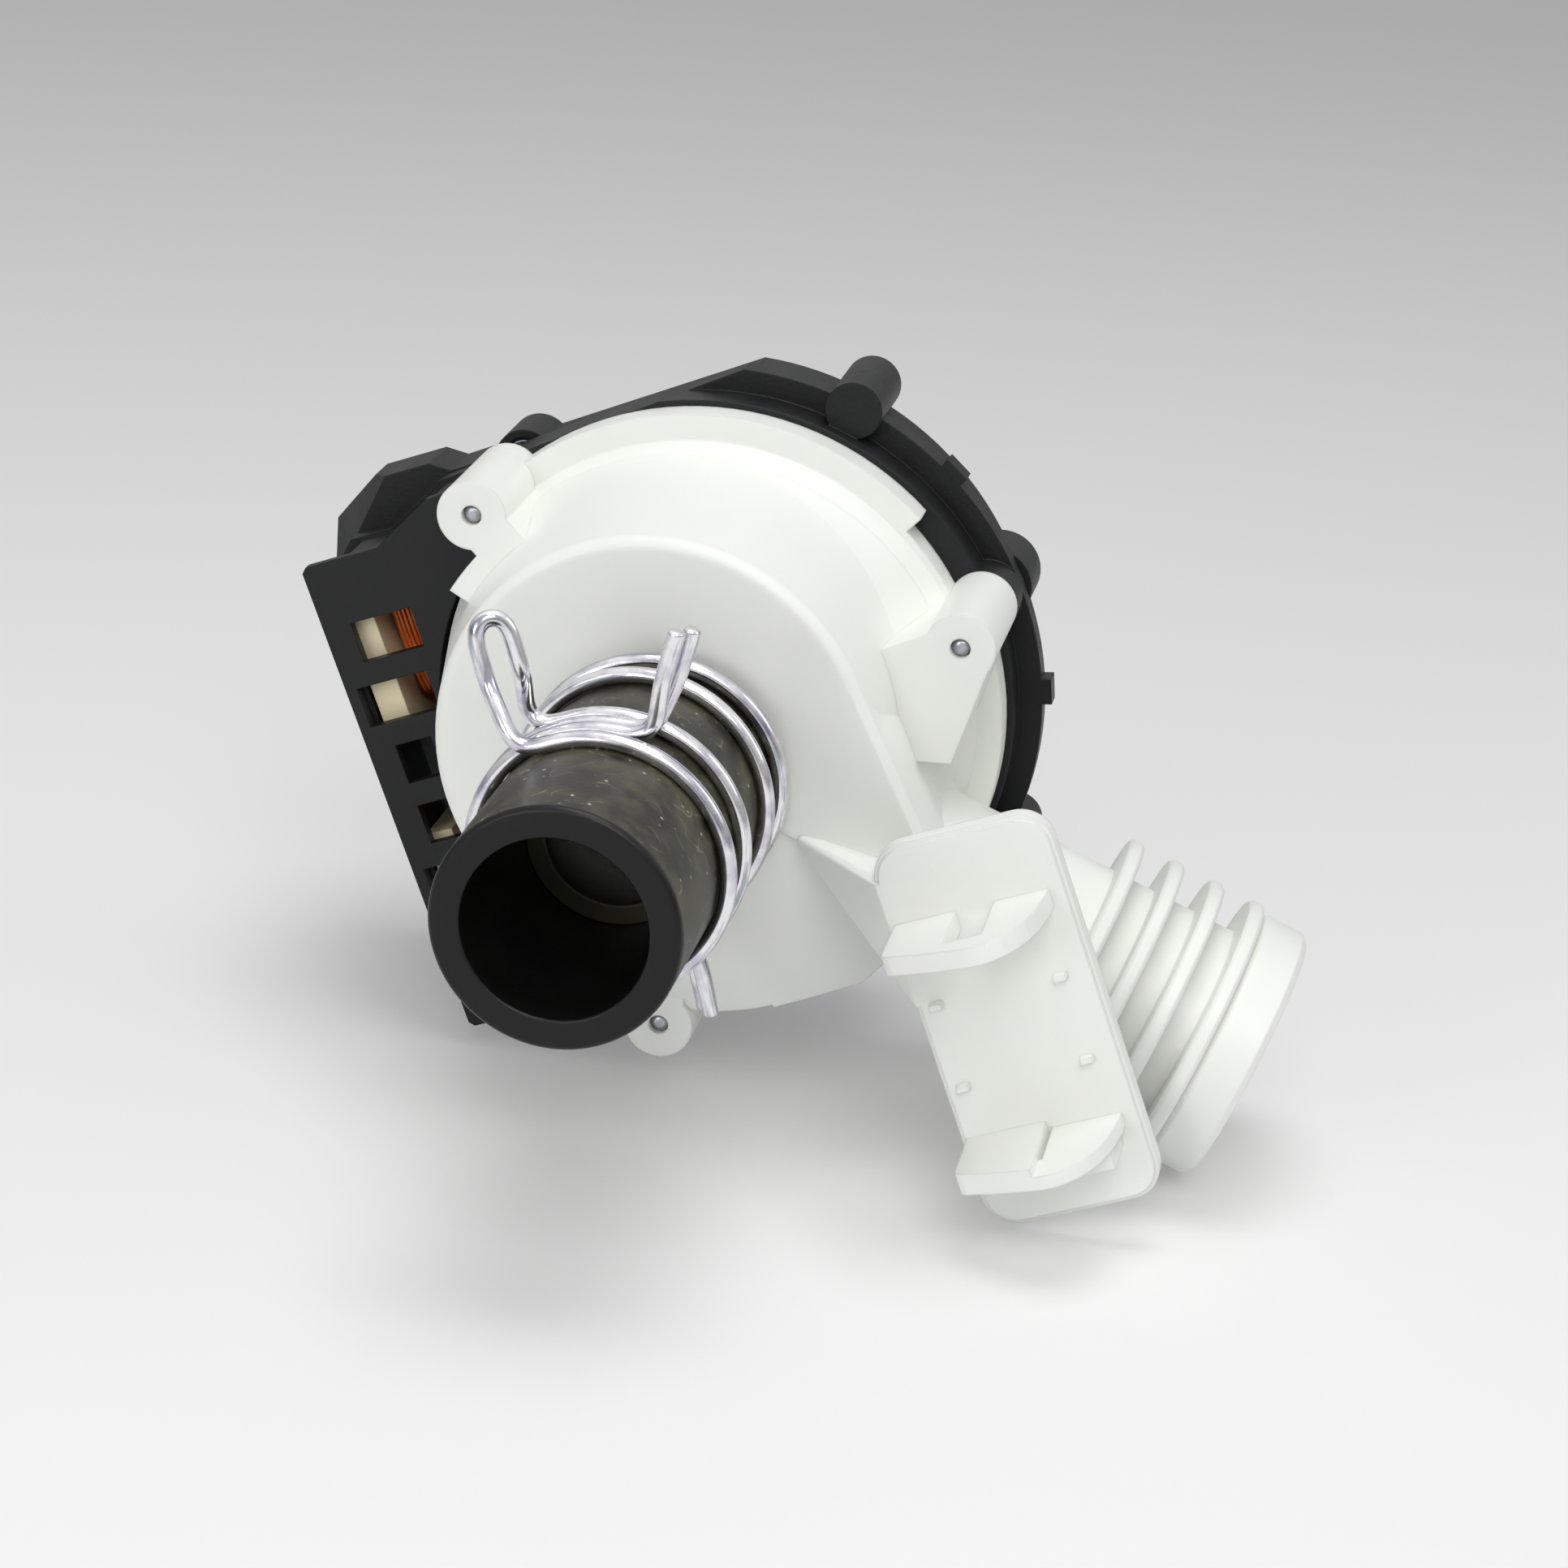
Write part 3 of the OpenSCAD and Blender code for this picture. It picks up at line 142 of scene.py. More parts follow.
def linear(code):  # sRGB hex to linear colour
    v = np.array([int(code[i:i + 2], 16) for i in (1, 3, 5)]) / 255
    v = np.where(v <= 0.04045, v / 12.92, ((v + 0.055) / 1.055) ** 2.4)
    return (*v.tolist(), 1.0)


# adds one node with its settings, values and links. Inputs go by name or number, or all in the sockets' order
def put(tree, kind, inputs, **settings):
    node = tree.nodes.new(kind)
    for key, value in settings.items():
        setattr(node, key, value)
    for key, value in inputs.items() if isinstance(inputs, dict) else enumerate(inputs):
        if isinstance(value, bpy.types.NodeSocket):
            tree.links.new(value, node.inputs[key])
        else:
            node.inputs[key].default_value = value
    return node


def newFinish(name, **values):  # a material with its shader's plain values set on the shader itself
    finish = bpy.data.materials.new(name)
    finish.use_nodes = True
    tree = finish.node_tree
    shader = tree.nodes["Principled BSDF"]
    for key, value in values.items():
        shader.inputs[key.replace("_", " ")].default_value = value
    return finish, tree, shader


def perMm(size):  # noise scale for a pattern whose marks are this many mm across
    return 1000.0 / size


bumpDepth = 0.0002  # metres from hollow to height
noiseSpan = (0.3, 0.7)  # where most of a noise pattern's values lie


def fromShaft(tree, where):  # how far a point lies behind the hose's mouth, and how far out from the shaft
    axis = put(tree, "ShaderNodeSeparateXYZ", {"Vector": where})
    flat = put(tree, "ShaderNodeCombineXYZ", {"X": axis.outputs["X"], "Z": axis.outputs["Z"]})
    out = put(tree, "ShaderNodeVectorMath", {0: flat.outputs[0]}, operation="LENGTH")
    return axis.outputs["Y"], out.outputs["Value"]


def glossBy(tree, shader, pattern, patternSpan, gloss):  # roughness that follows a pattern
    level = put(tree, "ShaderNodeMapRange", (pattern, *patternSpan, *gloss))
    tree.links.new(level.outputs[0], shader.inputs["Roughness"])


def grainBy(tree, shader, where, look, samples):  # fine bumps of the look's grain over eased edges
    grain = put(tree, "ShaderNodeTexNoise", {"Vector": where, "Scale": perMm(look["grain"]), "Detail": 2})
    soft = put(tree, "ShaderNodeBevel", {"Radius": look["edge"] / 1000}, samples=samples)
    bump = put(tree, "ShaderNodeBump", {
        "Height": grain.outputs["Fac"], "Strength": look["bump"], "Distance": bumpDepth,
        "Normal": soft.outputs[0]})
    tree.links.new(bump.outputs[0], shader.inputs["Normal"])


whiteCasing = {
    "light": "#f4f5f1", "dull": "#eceee8", "boreShade": "#55543f",
    "cloud": 22, "grain": 1.1, "edge": 0.5,  # mm
    "gloss": (0.34, 0.46), "bump": 0.06,
    "milk": 0.2, "milkDepth": 2.5,  # share of the light that sinks in, and mm
    "spigot": 13.1, "boreShadeFade": (36, 46),  # mm: radius that is painted with shade, and the depths between which the painted shade fades
}


# injection-moulded polypropylene: milky white, faintly warm in the shade, soft satin gloss and a fine
# orange peel. The spigot's tip, deep inside the hose, is painted dark olive as painted shade in the bore
def mouldedPolypropylene():
    look = whiteCasing
    finish, tree, shader = newFinish(
        "mouldedPolypropylene", IOR=1.49, Subsurface_Weight=look["milk"],
        Subsurface_Radius=(1.0, 1.0, 1.0), Subsurface_Scale=look["milkDepth"] / 1000)
    where = put(tree, "ShaderNodeTexCoord", {}).outputs["Object"]
    cloud = put(tree, "ShaderNodeTexNoise", {"Vector": where, "Scale": perMm(look["cloud"]), "Detail": 3})
    tone = put(tree, "ShaderNodeMix", {
        0: cloud.outputs["Fac"], 6: linear(look["light"]), 7: linear(look["dull"])}, data_type="RGBA")
    # painted shade: the spigot's tip within the hose's bore is darkened to olive
    back, out = fromShaft(tree, where)
    within = put(tree, "ShaderNodeMath", {0: out, 1: look["spigot"] / 1000}, operation="LESS_THAN")
    depths = [depth / 1000 for depth in look["boreShadeFade"]]
    boreShadeFade = put(tree, "ShaderNodeMapRange", (back, *depths, 1.0, 0.0))
    inBoreShade = put(tree, "ShaderNodeMath", {0: within.outputs[0], 1: boreShadeFade.outputs[0]}, operation="MULTIPLY")
    boreShaded = put(tree, "ShaderNodeMix", {
        0: inBoreShade.outputs[0], 6: tone.outputs[2], 7: linear(look["boreShade"])}, data_type="RGBA")
    tree.links.new(boreShaded.outputs[2], shader.inputs["Base Color"])
    glossBy(tree, shader, cloud.outputs["Fac"], noiseSpan, look["gloss"])
    grainBy(tree, shader, where, look, 6)
    return finish


blackHousing = {
    "deep": "#111112", "streaks": "#1c1d1e",
    "flow": 9, "grain": 0.7, "edge": 0.35,  # mm
    "stretch": 0.25,  # how the streaks are drawn out along the shaft
    "gloss": (0.4, 0.55), "bump": 0.18,
}


# moulded glass-filled polyester: near black, fine grain, paler fibre streaks along the flow
def mouldedBlackPolyester():
    look = blackHousing
    finish, tree, shader = newFinish("mouldedBlackPolyester", IOR=1.57, Specular_IOR_Level=0.24)
    where = put(tree, "ShaderNodeTexCoord", {}).outputs["Object"]
    along = put(tree, "ShaderNodeMapping", {"Vector": where, "Scale": (1, look["stretch"], 1)})
    flow = put(tree, "ShaderNodeTexNoise", {
        "Vector": along.outputs[0], "Scale": perMm(look["flow"]), "Detail": 6, "Roughness": 0.65})
    tone = put(tree, "ShaderNodeMix", {
        0: flow.outputs["Fac"], 6: linear(look["deep"]), 7: linear(look["streaks"])}, data_type="RGBA")
    tree.links.new(tone.outputs[2], shader.inputs["Base Color"])
    glossBy(tree, shader, flow.outputs["Fac"], noiseSpan, look["gloss"])
    grainBy(tree, shader, where, look, 6)
    return finish


hoseLook = {
    "cut": "#101010", "rubber": "#1c1b15", "bloom": "#5c5b4a", "dust": "#dcdccf",
    "cloud": 15, "patch": 3.6, "speck": 2.3, "scratch": 6, "grit": 0.5,  # mm
    "outside": (16.0, 16.7), "behind": (0.6, 1.6),  # mm of radius and depth over which the bloom sets in
    "patchShare": 0.36, "bloomSpan": (0.45, 0.66), "bloomShare": (0.04, 0.95),
    "speckEdge": (0.06, 0.15), "scratchEdge": (0.003, 0.009), "scratchShare": 0.2,
    "markSpan": (0.47, 0.6), "markShare": 0.85,
    "gloss": (0.36, 0.58), "bump": 0.15,
}


# moulded EPDM rubber: black where it is cut, elsewhere under a mottled grey-olive bloom with pale dust specks
# and thin scratches. The bloom starts a little behind the mouth and only on the outside
def bloomedRubber():
    look = hoseLook
    finish, tree, shader = newFinish("bloomedRubber", IOR=1.52, Specular_IOR_Level=0.26)
    where = put(tree, "ShaderNodeTexCoord", {}).outputs["Object"]
    depth, radius = fromShaft(tree, where)
    radii = [r / 1000 for r in look["outside"]]
    outside = put(tree, "ShaderNodeMapRange", (radius, *radii), interpolation_type="SMOOTHSTEP")
    depths = [d / 1000 for d in look["behind"]]
    behind = put(tree, "ShaderNodeMapRange", (depth, *depths), interpolation_type="SMOOTHSTEP")
    skin = put(tree, "ShaderNodeMath", {0: outside.outputs[0], 1: behind.outputs[0]}, operation="MULTIPLY")
    cloud = put(tree, "ShaderNodeTexNoise", {
        "Vector": where, "Scale": perMm(look["cloud"]), "Detail": 3, "Roughness": 0.55})
    patch = put(tree, "ShaderNodeTexNoise", {
        "Vector": where, "Scale": perMm(look["patch"]), "Detail": 6, "Roughness": 0.65})
    mottle = put(tree, "ShaderNodeMix", {
        0: look["patchShare"], 2: cloud.outputs["Fac"], 3: patch.outputs["Fac"]})
    share = put(tree, "ShaderNodeMapRange", (mottle.outputs[0], *look["bloomSpan"], *look["bloomShare"]))
    dusty = put(tree, "ShaderNodeMath", {0: skin.outputs[0], 1: share.outputs[0]}, operation="MULTIPLY")
    base = put(tree, "ShaderNodeMix", {
        0: skin.outputs[0], 6: linear(look["cut"]), 7: linear(look["rubber"])}, data_type="RGBA")
    tone = put(tree, "ShaderNodeMix", {
        0: dusty.outputs[0], 6: base.outputs[2], 7: linear(look["bloom"])}, data_type="RGBA")
    dots = put(tree, "ShaderNodeTexVoronoi", {"Vector": where, "Scale": perMm(look["speck"])})
    dot = put(tree, "ShaderNodeMapRange", (dots.outputs["Distance"], *look["speckEdge"], 1.0, 0.0))
    lines = put(tree, "ShaderNodeTexNoise", {"Vector": where, "Scale": perMm(look["scratch"]), "Detail": 1})
    off = put(tree, "ShaderNodeMath", {0: lines.outputs["Fac"], 1: 0.5}, operation="SUBTRACT")
    near = put(tree, "ShaderNodeMath", {0: off.outputs[0]}, operation="ABSOLUTE")
    line = put(tree, "ShaderNodeMapRange",
               (near.outputs[0], *look["scratchEdge"], look["scratchShare"], 0.0))
    mark = put(tree, "ShaderNodeMath", {0: dot.outputs[0], 1: line.outputs[0]}, operation="MAXIMUM")
    some = put(tree, "ShaderNodeMapRange",
               (patch.outputs["Fac"], *look["markSpan"], 0.0, look["markShare"]))
    marked = put(tree, "ShaderNodeMath", {0: mark.outputs[0], 1: some.outputs[0]}, operation="MULTIPLY")
    onSkin = put(tree, "ShaderNodeMath", {0: marked.outputs[0], 1: skin.outputs[0]}, operation="MULTIPLY")
    specked = put(tree, "ShaderNodeMix", {
        0: onSkin.outputs[0], 6: tone.outputs[2], 7: linear(look["dust"])}, data_type="RGBA")
    tree.links.new(specked.outputs[2], shader.inputs["Base Color"])
    glossBy(tree, shader, dusty.outputs[0], (0.0, 1.0), look["gloss"])
    grit = put(tree, "ShaderNodeTexNoise", {"Vector": where, "Scale": perMm(look["grit"]), "Detail": 2})
    bump = put(tree, "ShaderNodeBump", {
        "Height": grit.outputs["Fac"], "Strength": look["bump"], "Distance": bumpDepth})
    tree.links.new(bump.outputs[0], shader.inputs["Normal"])
    return finish


clampLook = {
    # the dark streak colour is a painted reflection along the wire
    "bright": "#ecebee", "violet": "#c6c3d2", "reflectionDark": "#55697a",
    "patch": 3.5, "draw": 0.35, "streak": 14,  # mm
    "round": 7,  # streaks round the wire
    "patchSpan": (0.45, 0.7), "reflectionSpan": (0.54, 0.66), "reflectionShare": 0.6,
    "gloss": (0.08, 0.24), "bump": 0.05,
}


# drawn spring wire with bright zinc: mirror-like, a violet tint in places, thin dark streaks along the wire
# that are painted reflections, faint drawing marks
def zincPlatedWire():
    look = clampLook
    finish, tree, shader = newFinish("zincPlatedWire", Metallic=1.0)
    where = put(tree, "ShaderNodeTexCoord", {}).outputs["Object"]
    patch = put(tree, "ShaderNodeTexNoise", {"Vector": where, "Scale": perMm(look["patch"]), "Detail": 2})
    share = put(tree, "ShaderNodeMapRange", (patch.outputs["Fac"], *look["patchSpan"]))
    tone = put(tree, "ShaderNodeMix", {
        0: share.outputs[0], 6: linear(look["bright"]), 7: linear(look["violet"])}, data_type="RGBA")
    wire = put(tree, "ShaderNodeUVMap", {}, uv_map="alongWire")
    drawn = put(tree, "ShaderNodeMapping", {
        "Vector": wire.outputs[0], "Scale": (1 / look["streak"], look["round"], 1)})
    lines = put(tree, "ShaderNodeTexNoise", {
        "Vector": drawn.outputs[0], "Scale": 1.0, "Detail": 3, "Roughness": 0.6})
    # painted reflection: the dark streaks along the wire stand in for dark reflections on its sides
    streaks = put(tree, "ShaderNodeMapRange",
               (lines.outputs["Fac"], *look["reflectionSpan"], 0.0, look["reflectionShare"]))
    streaked = put(tree, "ShaderNodeMix", {
        0: streaks.outputs[0], 6: tone.outputs[2], 7: linear(look["reflectionDark"])}, data_type="RGBA")
    tree.links.new(streaked.outputs[2], shader.inputs["Base Color"])
    marks = put(tree, "ShaderNodeTexNoise", {"Vector": where, "Scale": perMm(look["draw"]), "Detail": 2})
    glossBy(tree, shader, marks.outputs["Fac"], (0.0, 1.0), look["gloss"])
    bump = put(tree, "ShaderNodeBump", {
        "Height": marks.outputs["Fac"], "Strength": look["bump"], "Distance": bumpDepth / 2})
    tree.links.new(bump.outputs[0], shader.inputs["Normal"])
    return finish


copperLook = {"bright": "#ff9a48", "deep": "#f0682a", "patch": 4}  # patch in mm


# enamelled winding wire: orange-red copper under a clear varnish
def enamelledCopper():
    look = copperLook
    finish, tree, shader = newFinish(
        "enamelledCopper", Metallic=0.25, Roughness=0.3, Coat_Weight=0.6, Coat_Roughness=0.12)
    where = put(tree, "ShaderNodeTexCoord", {}).outputs["Object"]
    patch = put(tree, "ShaderNodeTexNoise", {"Vector": where, "Scale": perMm(look["patch"]), "Detail": 3})
    tone = put(tree, "ShaderNodeMix", {
        0: patch.outputs["Fac"], 6: linear(look["deep"]), 7: linear(look["bright"])}, data_type="RGBA")
    tree.links.new(tone.outputs[2], shader.inputs["Base Color"])
    return finish


steelLook = {
    "pale": "#8d9094", "seam": "#3c3d40", "rust": "#6e5a49",
    "seamEvery": 3.1416, "spot": 5,  # mm
    "seamSpan": (0.0, 0.25), "rustSpan": (0.55, 0.75), "rustShare": 0.6,
    "gloss": (0.3, 0.6),
}


# stamped silicon steel sheets in a stack: thin dark seams and a little rust on the cut edges. The seams are
# drawn about 3 mm apart, where the real sheets are half a millimetre, so that they show.
# A wave's bands repeat every 2 pi / 20 of its own scale
def laminatedSteel():
    look = steelLook
    finish, tree, shader = newFinish("laminatedSteel", Metallic=0.9)
    where = put(tree, "ShaderNodeTexCoord", {}).outputs["Object"]
    layers = put(tree, "ShaderNodeTexWave", {
        "Vector": where, "Scale": 2 * np.pi / 20 * perMm(look["seamEvery"]), "Distortion": 0.0},
        bands_direction="Y")
    seam = put(tree, "ShaderNodeMapRange", (layers.outputs["Fac"], *look["seamSpan"]))
    stack = put(tree, "ShaderNodeMix", {
        0: seam.outputs[0], 6: linear(look["seam"]), 7: linear(look["pale"])}, data_type="RGBA")
    spots = put(tree, "ShaderNodeTexNoise", {"Vector": where, "Scale": perMm(look["spot"]), "Detail": 5})
    rust = put(tree, "ShaderNodeMapRange",
               (spots.outputs["Fac"], *look["rustSpan"], 0.0, look["rustShare"]))
    tone = put(tree, "ShaderNodeMix", {
        0: rust.outputs[0], 6: stack.outputs[2], 7: linear(look["rust"])}, data_type="RGBA")
    tree.links.new(tone.outputs[2], shader.inputs["Base Color"])
    glossBy(tree, shader, spots.outputs["Fac"], (0.0, 1.0), look["gloss"])
    return finish


# a plain moulded or machined finish: two tones in soft clouds, a grain of the given size and eased edges
def cloudedFinish(name, look):
    finish, tree, shader = newFinish(name, **look["shader"])
    where = put(tree, "ShaderNodeTexCoord", {}).outputs["Object"]
    cloud = put(tree, "ShaderNodeTexNoise", {"Vector": where, "Scale": perMm(look["cloud"]), "Detail": 4})
    tone = put(tree, "ShaderNodeMix", {
        0: cloud.outputs["Fac"], 6: linear(look["light"]), 7: linear(look["dark"])}, data_type="RGBA")
    tree.links.new(tone.outputs[2], shader.inputs["Base Color"])
    glossBy(tree, shader, cloud.outputs["Fac"], noiseSpan, look["gloss"])
    grainBy(tree, shader, where, look, 4)
    return finish


innerLooks = {  # cloud, grain and edge in mm
    # moulded PBT spool: warm cream, satin
    "creamPbt": {
        "light": "#efe3c4", "dark": "#e2d2ab", "cloud": 8, "grain": 0.6, "edge": 0.3,
        "bump": 0.1, "gloss": (0.35, 0.5), "shader": {"IOR": 1.55}},
    # inner copper layers, seen only between the turns: darker than the winding, as painted shade between the
    # turns
    "shadePaintedCopperLayer": {
        "light": "#a34316", "dark": "#7a2d0e", "cloud": 3, "grain": 0.6, "edge": 0.3,
        "bump": 0.4, "gloss": (0.35, 0.5), "shader": {"Metallic": 0.8}},
    # zinc-plated screw steel: pale grey, slightly dull
    "zincScrewSteel": {
        "light": "#c3c6ca", "dark": "#a3a7ad", "cloud": 2, "grain": 0.4, "edge": 0.2,
        "bump": 0.15, "gloss": (0.22, 0.38), "shader": {"Metallic": 1.0}},
    # tinned brass blade: pale gold
    "tinnedBrass": {
        "light": "#d8cda0", "dark": "#c4b47d", "cloud": 3, "grain": 0.4, "edge": 0.15,
        "bump": 0.1, "gloss": (0.2, 0.36), "shader": {"Metallic": 1.0}},
    # moulded nitrile seal: matt black
    "nitrileSeal": {
        "light": "#262626", "dark": "#191919", "cloud": 4, "grain": 0.5, "edge": 0.2,
        "bump": 0.2, "gloss": (0.5, 0.7), "shader": {"IOR": 1.52}},
    # moulded polyphenylene can round the rotor: warm dark grey
    "rotorCanResin": {
        "light": "#6d6a62", "dark": "#57544d", "cloud": 8, "grain": 0.6, "edge": 0.3,
        "bump": 0.12, "gloss": (0.35, 0.5), "shader": {"IOR": 1.6}},
    # moulded acetal carrier: off-white, slippery gloss
    "acetalCarrier": {
        "light": "#d9d7cd", "dark": "#c9c6ba", "cloud": 8, "grain": 0.8, "edge": 0.3,
        "bump": 0.05, "gloss": (0.25, 0.38), "shader": {"IOR": 1.48}},
    # pressed carbon bush: soft grey-black with a faint metal sheen
    "pressedCarbon": {
        "light": "#4a4b4d", "dark": "#38393b", "cloud": 2, "grain": 0.3, "edge": 0.2,
        "bump": 0.2, "gloss": (0.3, 0.45), "shader": {"Metallic": 0.3}},
    # sintered ferrite magnet: charcoal grey, ground
    "sinteredFerrite": {
        "light": "#3d3e42", "dark": "#2c2d30", "cloud": 3, "grain": 0.35, "edge": 0.25,
        "bump": 0.3, "gloss": (0.4, 0.6), "shader": {"Metallic": 0.25}},
    # ground stainless shaft: bright with fine marks
    "groundStainless": {
        "light": "#d2d4d6", "dark": "#bcbfc3", "cloud": 3, "grain": 0.25, "edge": 0.15,
        "bump": 0.1, "gloss": (0.12, 0.25), "shader": {"Metallic": 1.0}},
    # moulded nylon dog: natural ivory
    "nylonDog": {
        "light": "#cfc8b4", "dark": "#bcb49d", "cloud": 6, "grain": 0.6, "edge": 0.25,
        "bump": 0.1, "gloss": (0.35, 0.5), "shader": {"IOR": 1.53}},
    # moulded talc-filled polypropylene impeller: light grey
    "talcPolypropylene": {
        "light": "#c3c6c6", "dark": "#b1b5b5", "cloud": 8, "grain": 0.7, "edge": 0.3,
        "bump": 0.1, "gloss": (0.38, 0.52), "shader": {"IOR": 1.49}},
}

finishes = {name: cloudedFinish(name, look) for name, look in innerLooks.items()}
for make in (mouldedPolypropylene, mouldedBlackPolyester, bloomedRubber,
             zincPlatedWire, enamelledCopper, laminatedSteel):
    finishes[make.__name__] = make()

finishOf = {
    "volute_casing": "mouldedPolypropylene",
    "motor_frame": "mouldedBlackPolyester", "rear_cover": "mouldedBlackPolyester",
    "casing_seal": "nitrileSeal", "front_cushion": "nitrileSeal", "rear_cushion": "nitrileSeal",
    "casing_screws": "zincScrewSteel", "cover_screws": "zincScrewSteel", "rotor_can": "rotorCanResin",
    "stator_core": "laminatedSteel", "upper_bobbin": "creamPbt", "lower_bobbin": "creamPbt",
    "upper_coil_pack": "shadePaintedCopperLayer", "lower_coil_pack": "shadePaintedCopperLayer",
    "terminal_tabs": "tinnedBrass", "bearing_carrier": "acetalCarrier",
    "front_bearing": "pressedCarbon", "rear_bearing": "pressedCarbon",
    "rotor_magnet": "sinteredFerrite", "rotor_shaft": "groundStainless",
    "thrust_washers": "acetalCarrier", "drive_dog": "nylonDog",
    "impeller": "talcPolypropylene", "impeller_cap": "talcPolypropylene",
}
for nodeName, finishName in finishOf.items():
    solid = nodes[nodeName]
    if not solid.material_slots:
        solid.data.materials.append(None)
    for place in solid.material_slots:
        place.material = finishes[finishName]
print("finishes on", len(finishOf), "solids")


def dress(piece, node, finishName):  # the piece stands for its solid and moves with the housing
    piece.data.materials.append(finishes[finishName])
    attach(piece, "housing")
    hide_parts(node)


hose = {  # mm, heights from the joint face
    "r": 17.0, "bore": 12.7, "seat": 12.9,
    "back": 33.3, "mouth": lay["mouth"], "seatEnd": 61.8, "seatSlope": 0.4,
    "lip": 0.9, "innerLip": 0.45,
    "clamps": (67.6, 41.7),  # middles of the front and rear clamp
    "swell": 0.12, "pinchWide": 4.0, "bulge": 0.6,
    "lipSteps": 7, "longSteps": 90, "roundSteps": 120,
}


# the hose: a closed outline of radius against length, turned about the shaft. Quarter circles round the lips,
# the outside drawn in under each clamp and swelling between them by a bell curve
def inletHose():
    lip = hose["lip"]
    small = hose["innerLip"]
    bore, seat, back, mouth = (hose[key] for key in ("bore", "seat", "back", "mouth"))
    q = np.radians(np.linspace(0, 90, hose["lipSteps"]))
    z = np.linspace(back + lip, mouth - lip, hose["longSteps"])
    pinch = sum(np.exp(-0.5 * ((z - c) / hose["pinchWide"]) ** 2) for c in hose["clamps"])
    outer = np.stack([hose["r"] + hose["swell"] * (hose["bulge"] - pinch), z], -1)
    frontOut = np.stack([outer[-1, 0] - lip + lip * np.cos(q), mouth - lip + lip * np.sin(q)], -1)
    frontIn = np.stack([bore + small - small * np.sin(q), mouth - small + small * np.cos(q)], -1)
    step = np.array([[bore, hose["seatEnd"] + hose["seatSlope"]], [seat, hose["seatEnd"]]])
    backIn = np.stack([seat + small - small * np.cos(q), back + small - small * np.sin(q)], -1)
    backOut = np.stack([outer[0, 0] - lip + lip * np.sin(q), back + lip - lip * np.cos(q)], -1)
    outline = np.concatenate([outer, frontOut, frontIn, step, backIn, backOut])
    a = np.linspace(0, 2 * np.pi, hose["roundSteps"], endpoint=False)
    r = outline[:, 0][:, None]
    z = outline[:, 1][:, None]
    points = np.stack([r * np.cos(a), r * np.sin(a), z + 0 * a], -1)
    return sheetPiece("rubberInletHose", toFrame(points)[::-1], wrapU=True)


dress(inletHose(), "inlet_hose", "bloomedRubber")
print("hose turned")

clamp = {  # mm and degrees
    "wire": 2.4, "r": 18.3, "bend": 2.88,
    "wide": 5.0, "near": 1.35, "closeFrom": 90.0, "closeOver": 250.0,  # half the strands' distance
    "mid": 0.55,  # share of an end, from its tip, along which its strands lie side by side
    "loopAt": 97.0, "loopWay": 86.0, "loopLong": 12.6, "loopHalf": (2.25, 1.0),
    "freeAt": 58.0, "freeWay": 55.0, "freeLong": 13.4, "freeHalf": (0.8, 1.45),
    "rearTurn": -42.0,
    "turnSteps": 240, "bendSteps": 9, "crownSteps": 17, "spacing": 0.25, "soft": 1.5, "sides": 24,
}


# the clamp: one wire laid double. From the closed loop both strands bend onto the hose, run round it more
# than once while they close from a wide pair to a narrow one, and bend out again as two free ends
def clampPath():
    c = clamp
    wide = c["wide"]
    near = c["near"]
    loopBase = polar(c["r"] + c["bend"], c["loopAt"])
    freeBase = polar(c["r"] + c["bend"], c["freeAt"])
    loopTip = loopBase + polar(c["bend"], c["loopWay"] + 90) + polar(c["loopLong"], c["loopWay"])
    freeTip = freeBase + polar(c["bend"], c["freeWay"] - 90) + polar(c["freeLong"], c["freeWay"])
    loopMid = loopTip - polar(c["mid"] * c["loopLong"], c["loopWay"])
    freeMid = freeTip - polar(c["mid"] * c["freeLong"], c["freeWay"])
    loopHalf = polar(c["loopHalf"][0], c["loopWay"] + 90, c["loopHalf"][1])
    freeHalf = polar(c["freeHalf"][0], c["freeWay"] + 90, c["freeHalf"][1])
    turn = np.linspace(0, 360 + c["loopAt"] - c["freeAt"], c["turnSteps"])
    s = np.clip((turn - c["closeFrom"]) / c["closeOver"], 0, 1)
    apart = wide + (near - wide) * s * s * (3 - 2 * s)
    k = np.linspace(0, 1, c["bendSteps"])
    ontoHose = c["loopWay"] + (c["loopAt"] + 90 - c["loopWay"]) * k[:-1] + 90
    offHose = c["freeAt"] - 90 + (c["freeWay"] + 90 - c["freeAt"]) * k[1:] - 90

    def strand(side):
        return np.concatenate([
            [loopTip + side * loopHalf, loopMid + side * loopHalf],
            loopBase + polar(c["bend"], ontoHose, side * wide),
            polar(c["r"], c["loopAt"] - turn, side * apart),
            freeBase + polar(c["bend"], offHose, side * near),
            [freeMid + side * freeHalf, freeTip + side * freeHalf]])

    a = np.radians(np.linspace(0, 180, c["crownSteps"])[1:-1])[:, None]
    outward = np.linalg.norm(loopHalf) * polar(1, c["loopWay"])
    crown = loopTip + np.cos(a) * loopHalf + np.sin(a) * outward
    return evenBends(np.concatenate([strand(1)[::-1], crown, strand(-1)]), c["spacing"], c["soft"])


def hoseClamp(name, path):
    skin = wireSkin(path, clamp["wire"] / 2, np.array([0, 0, 1.0]), clamp["sides"])
    return sheetPiece(name, toFrame(skin)[::-1], caps=True, along=lengthAlong(path)[::-1])


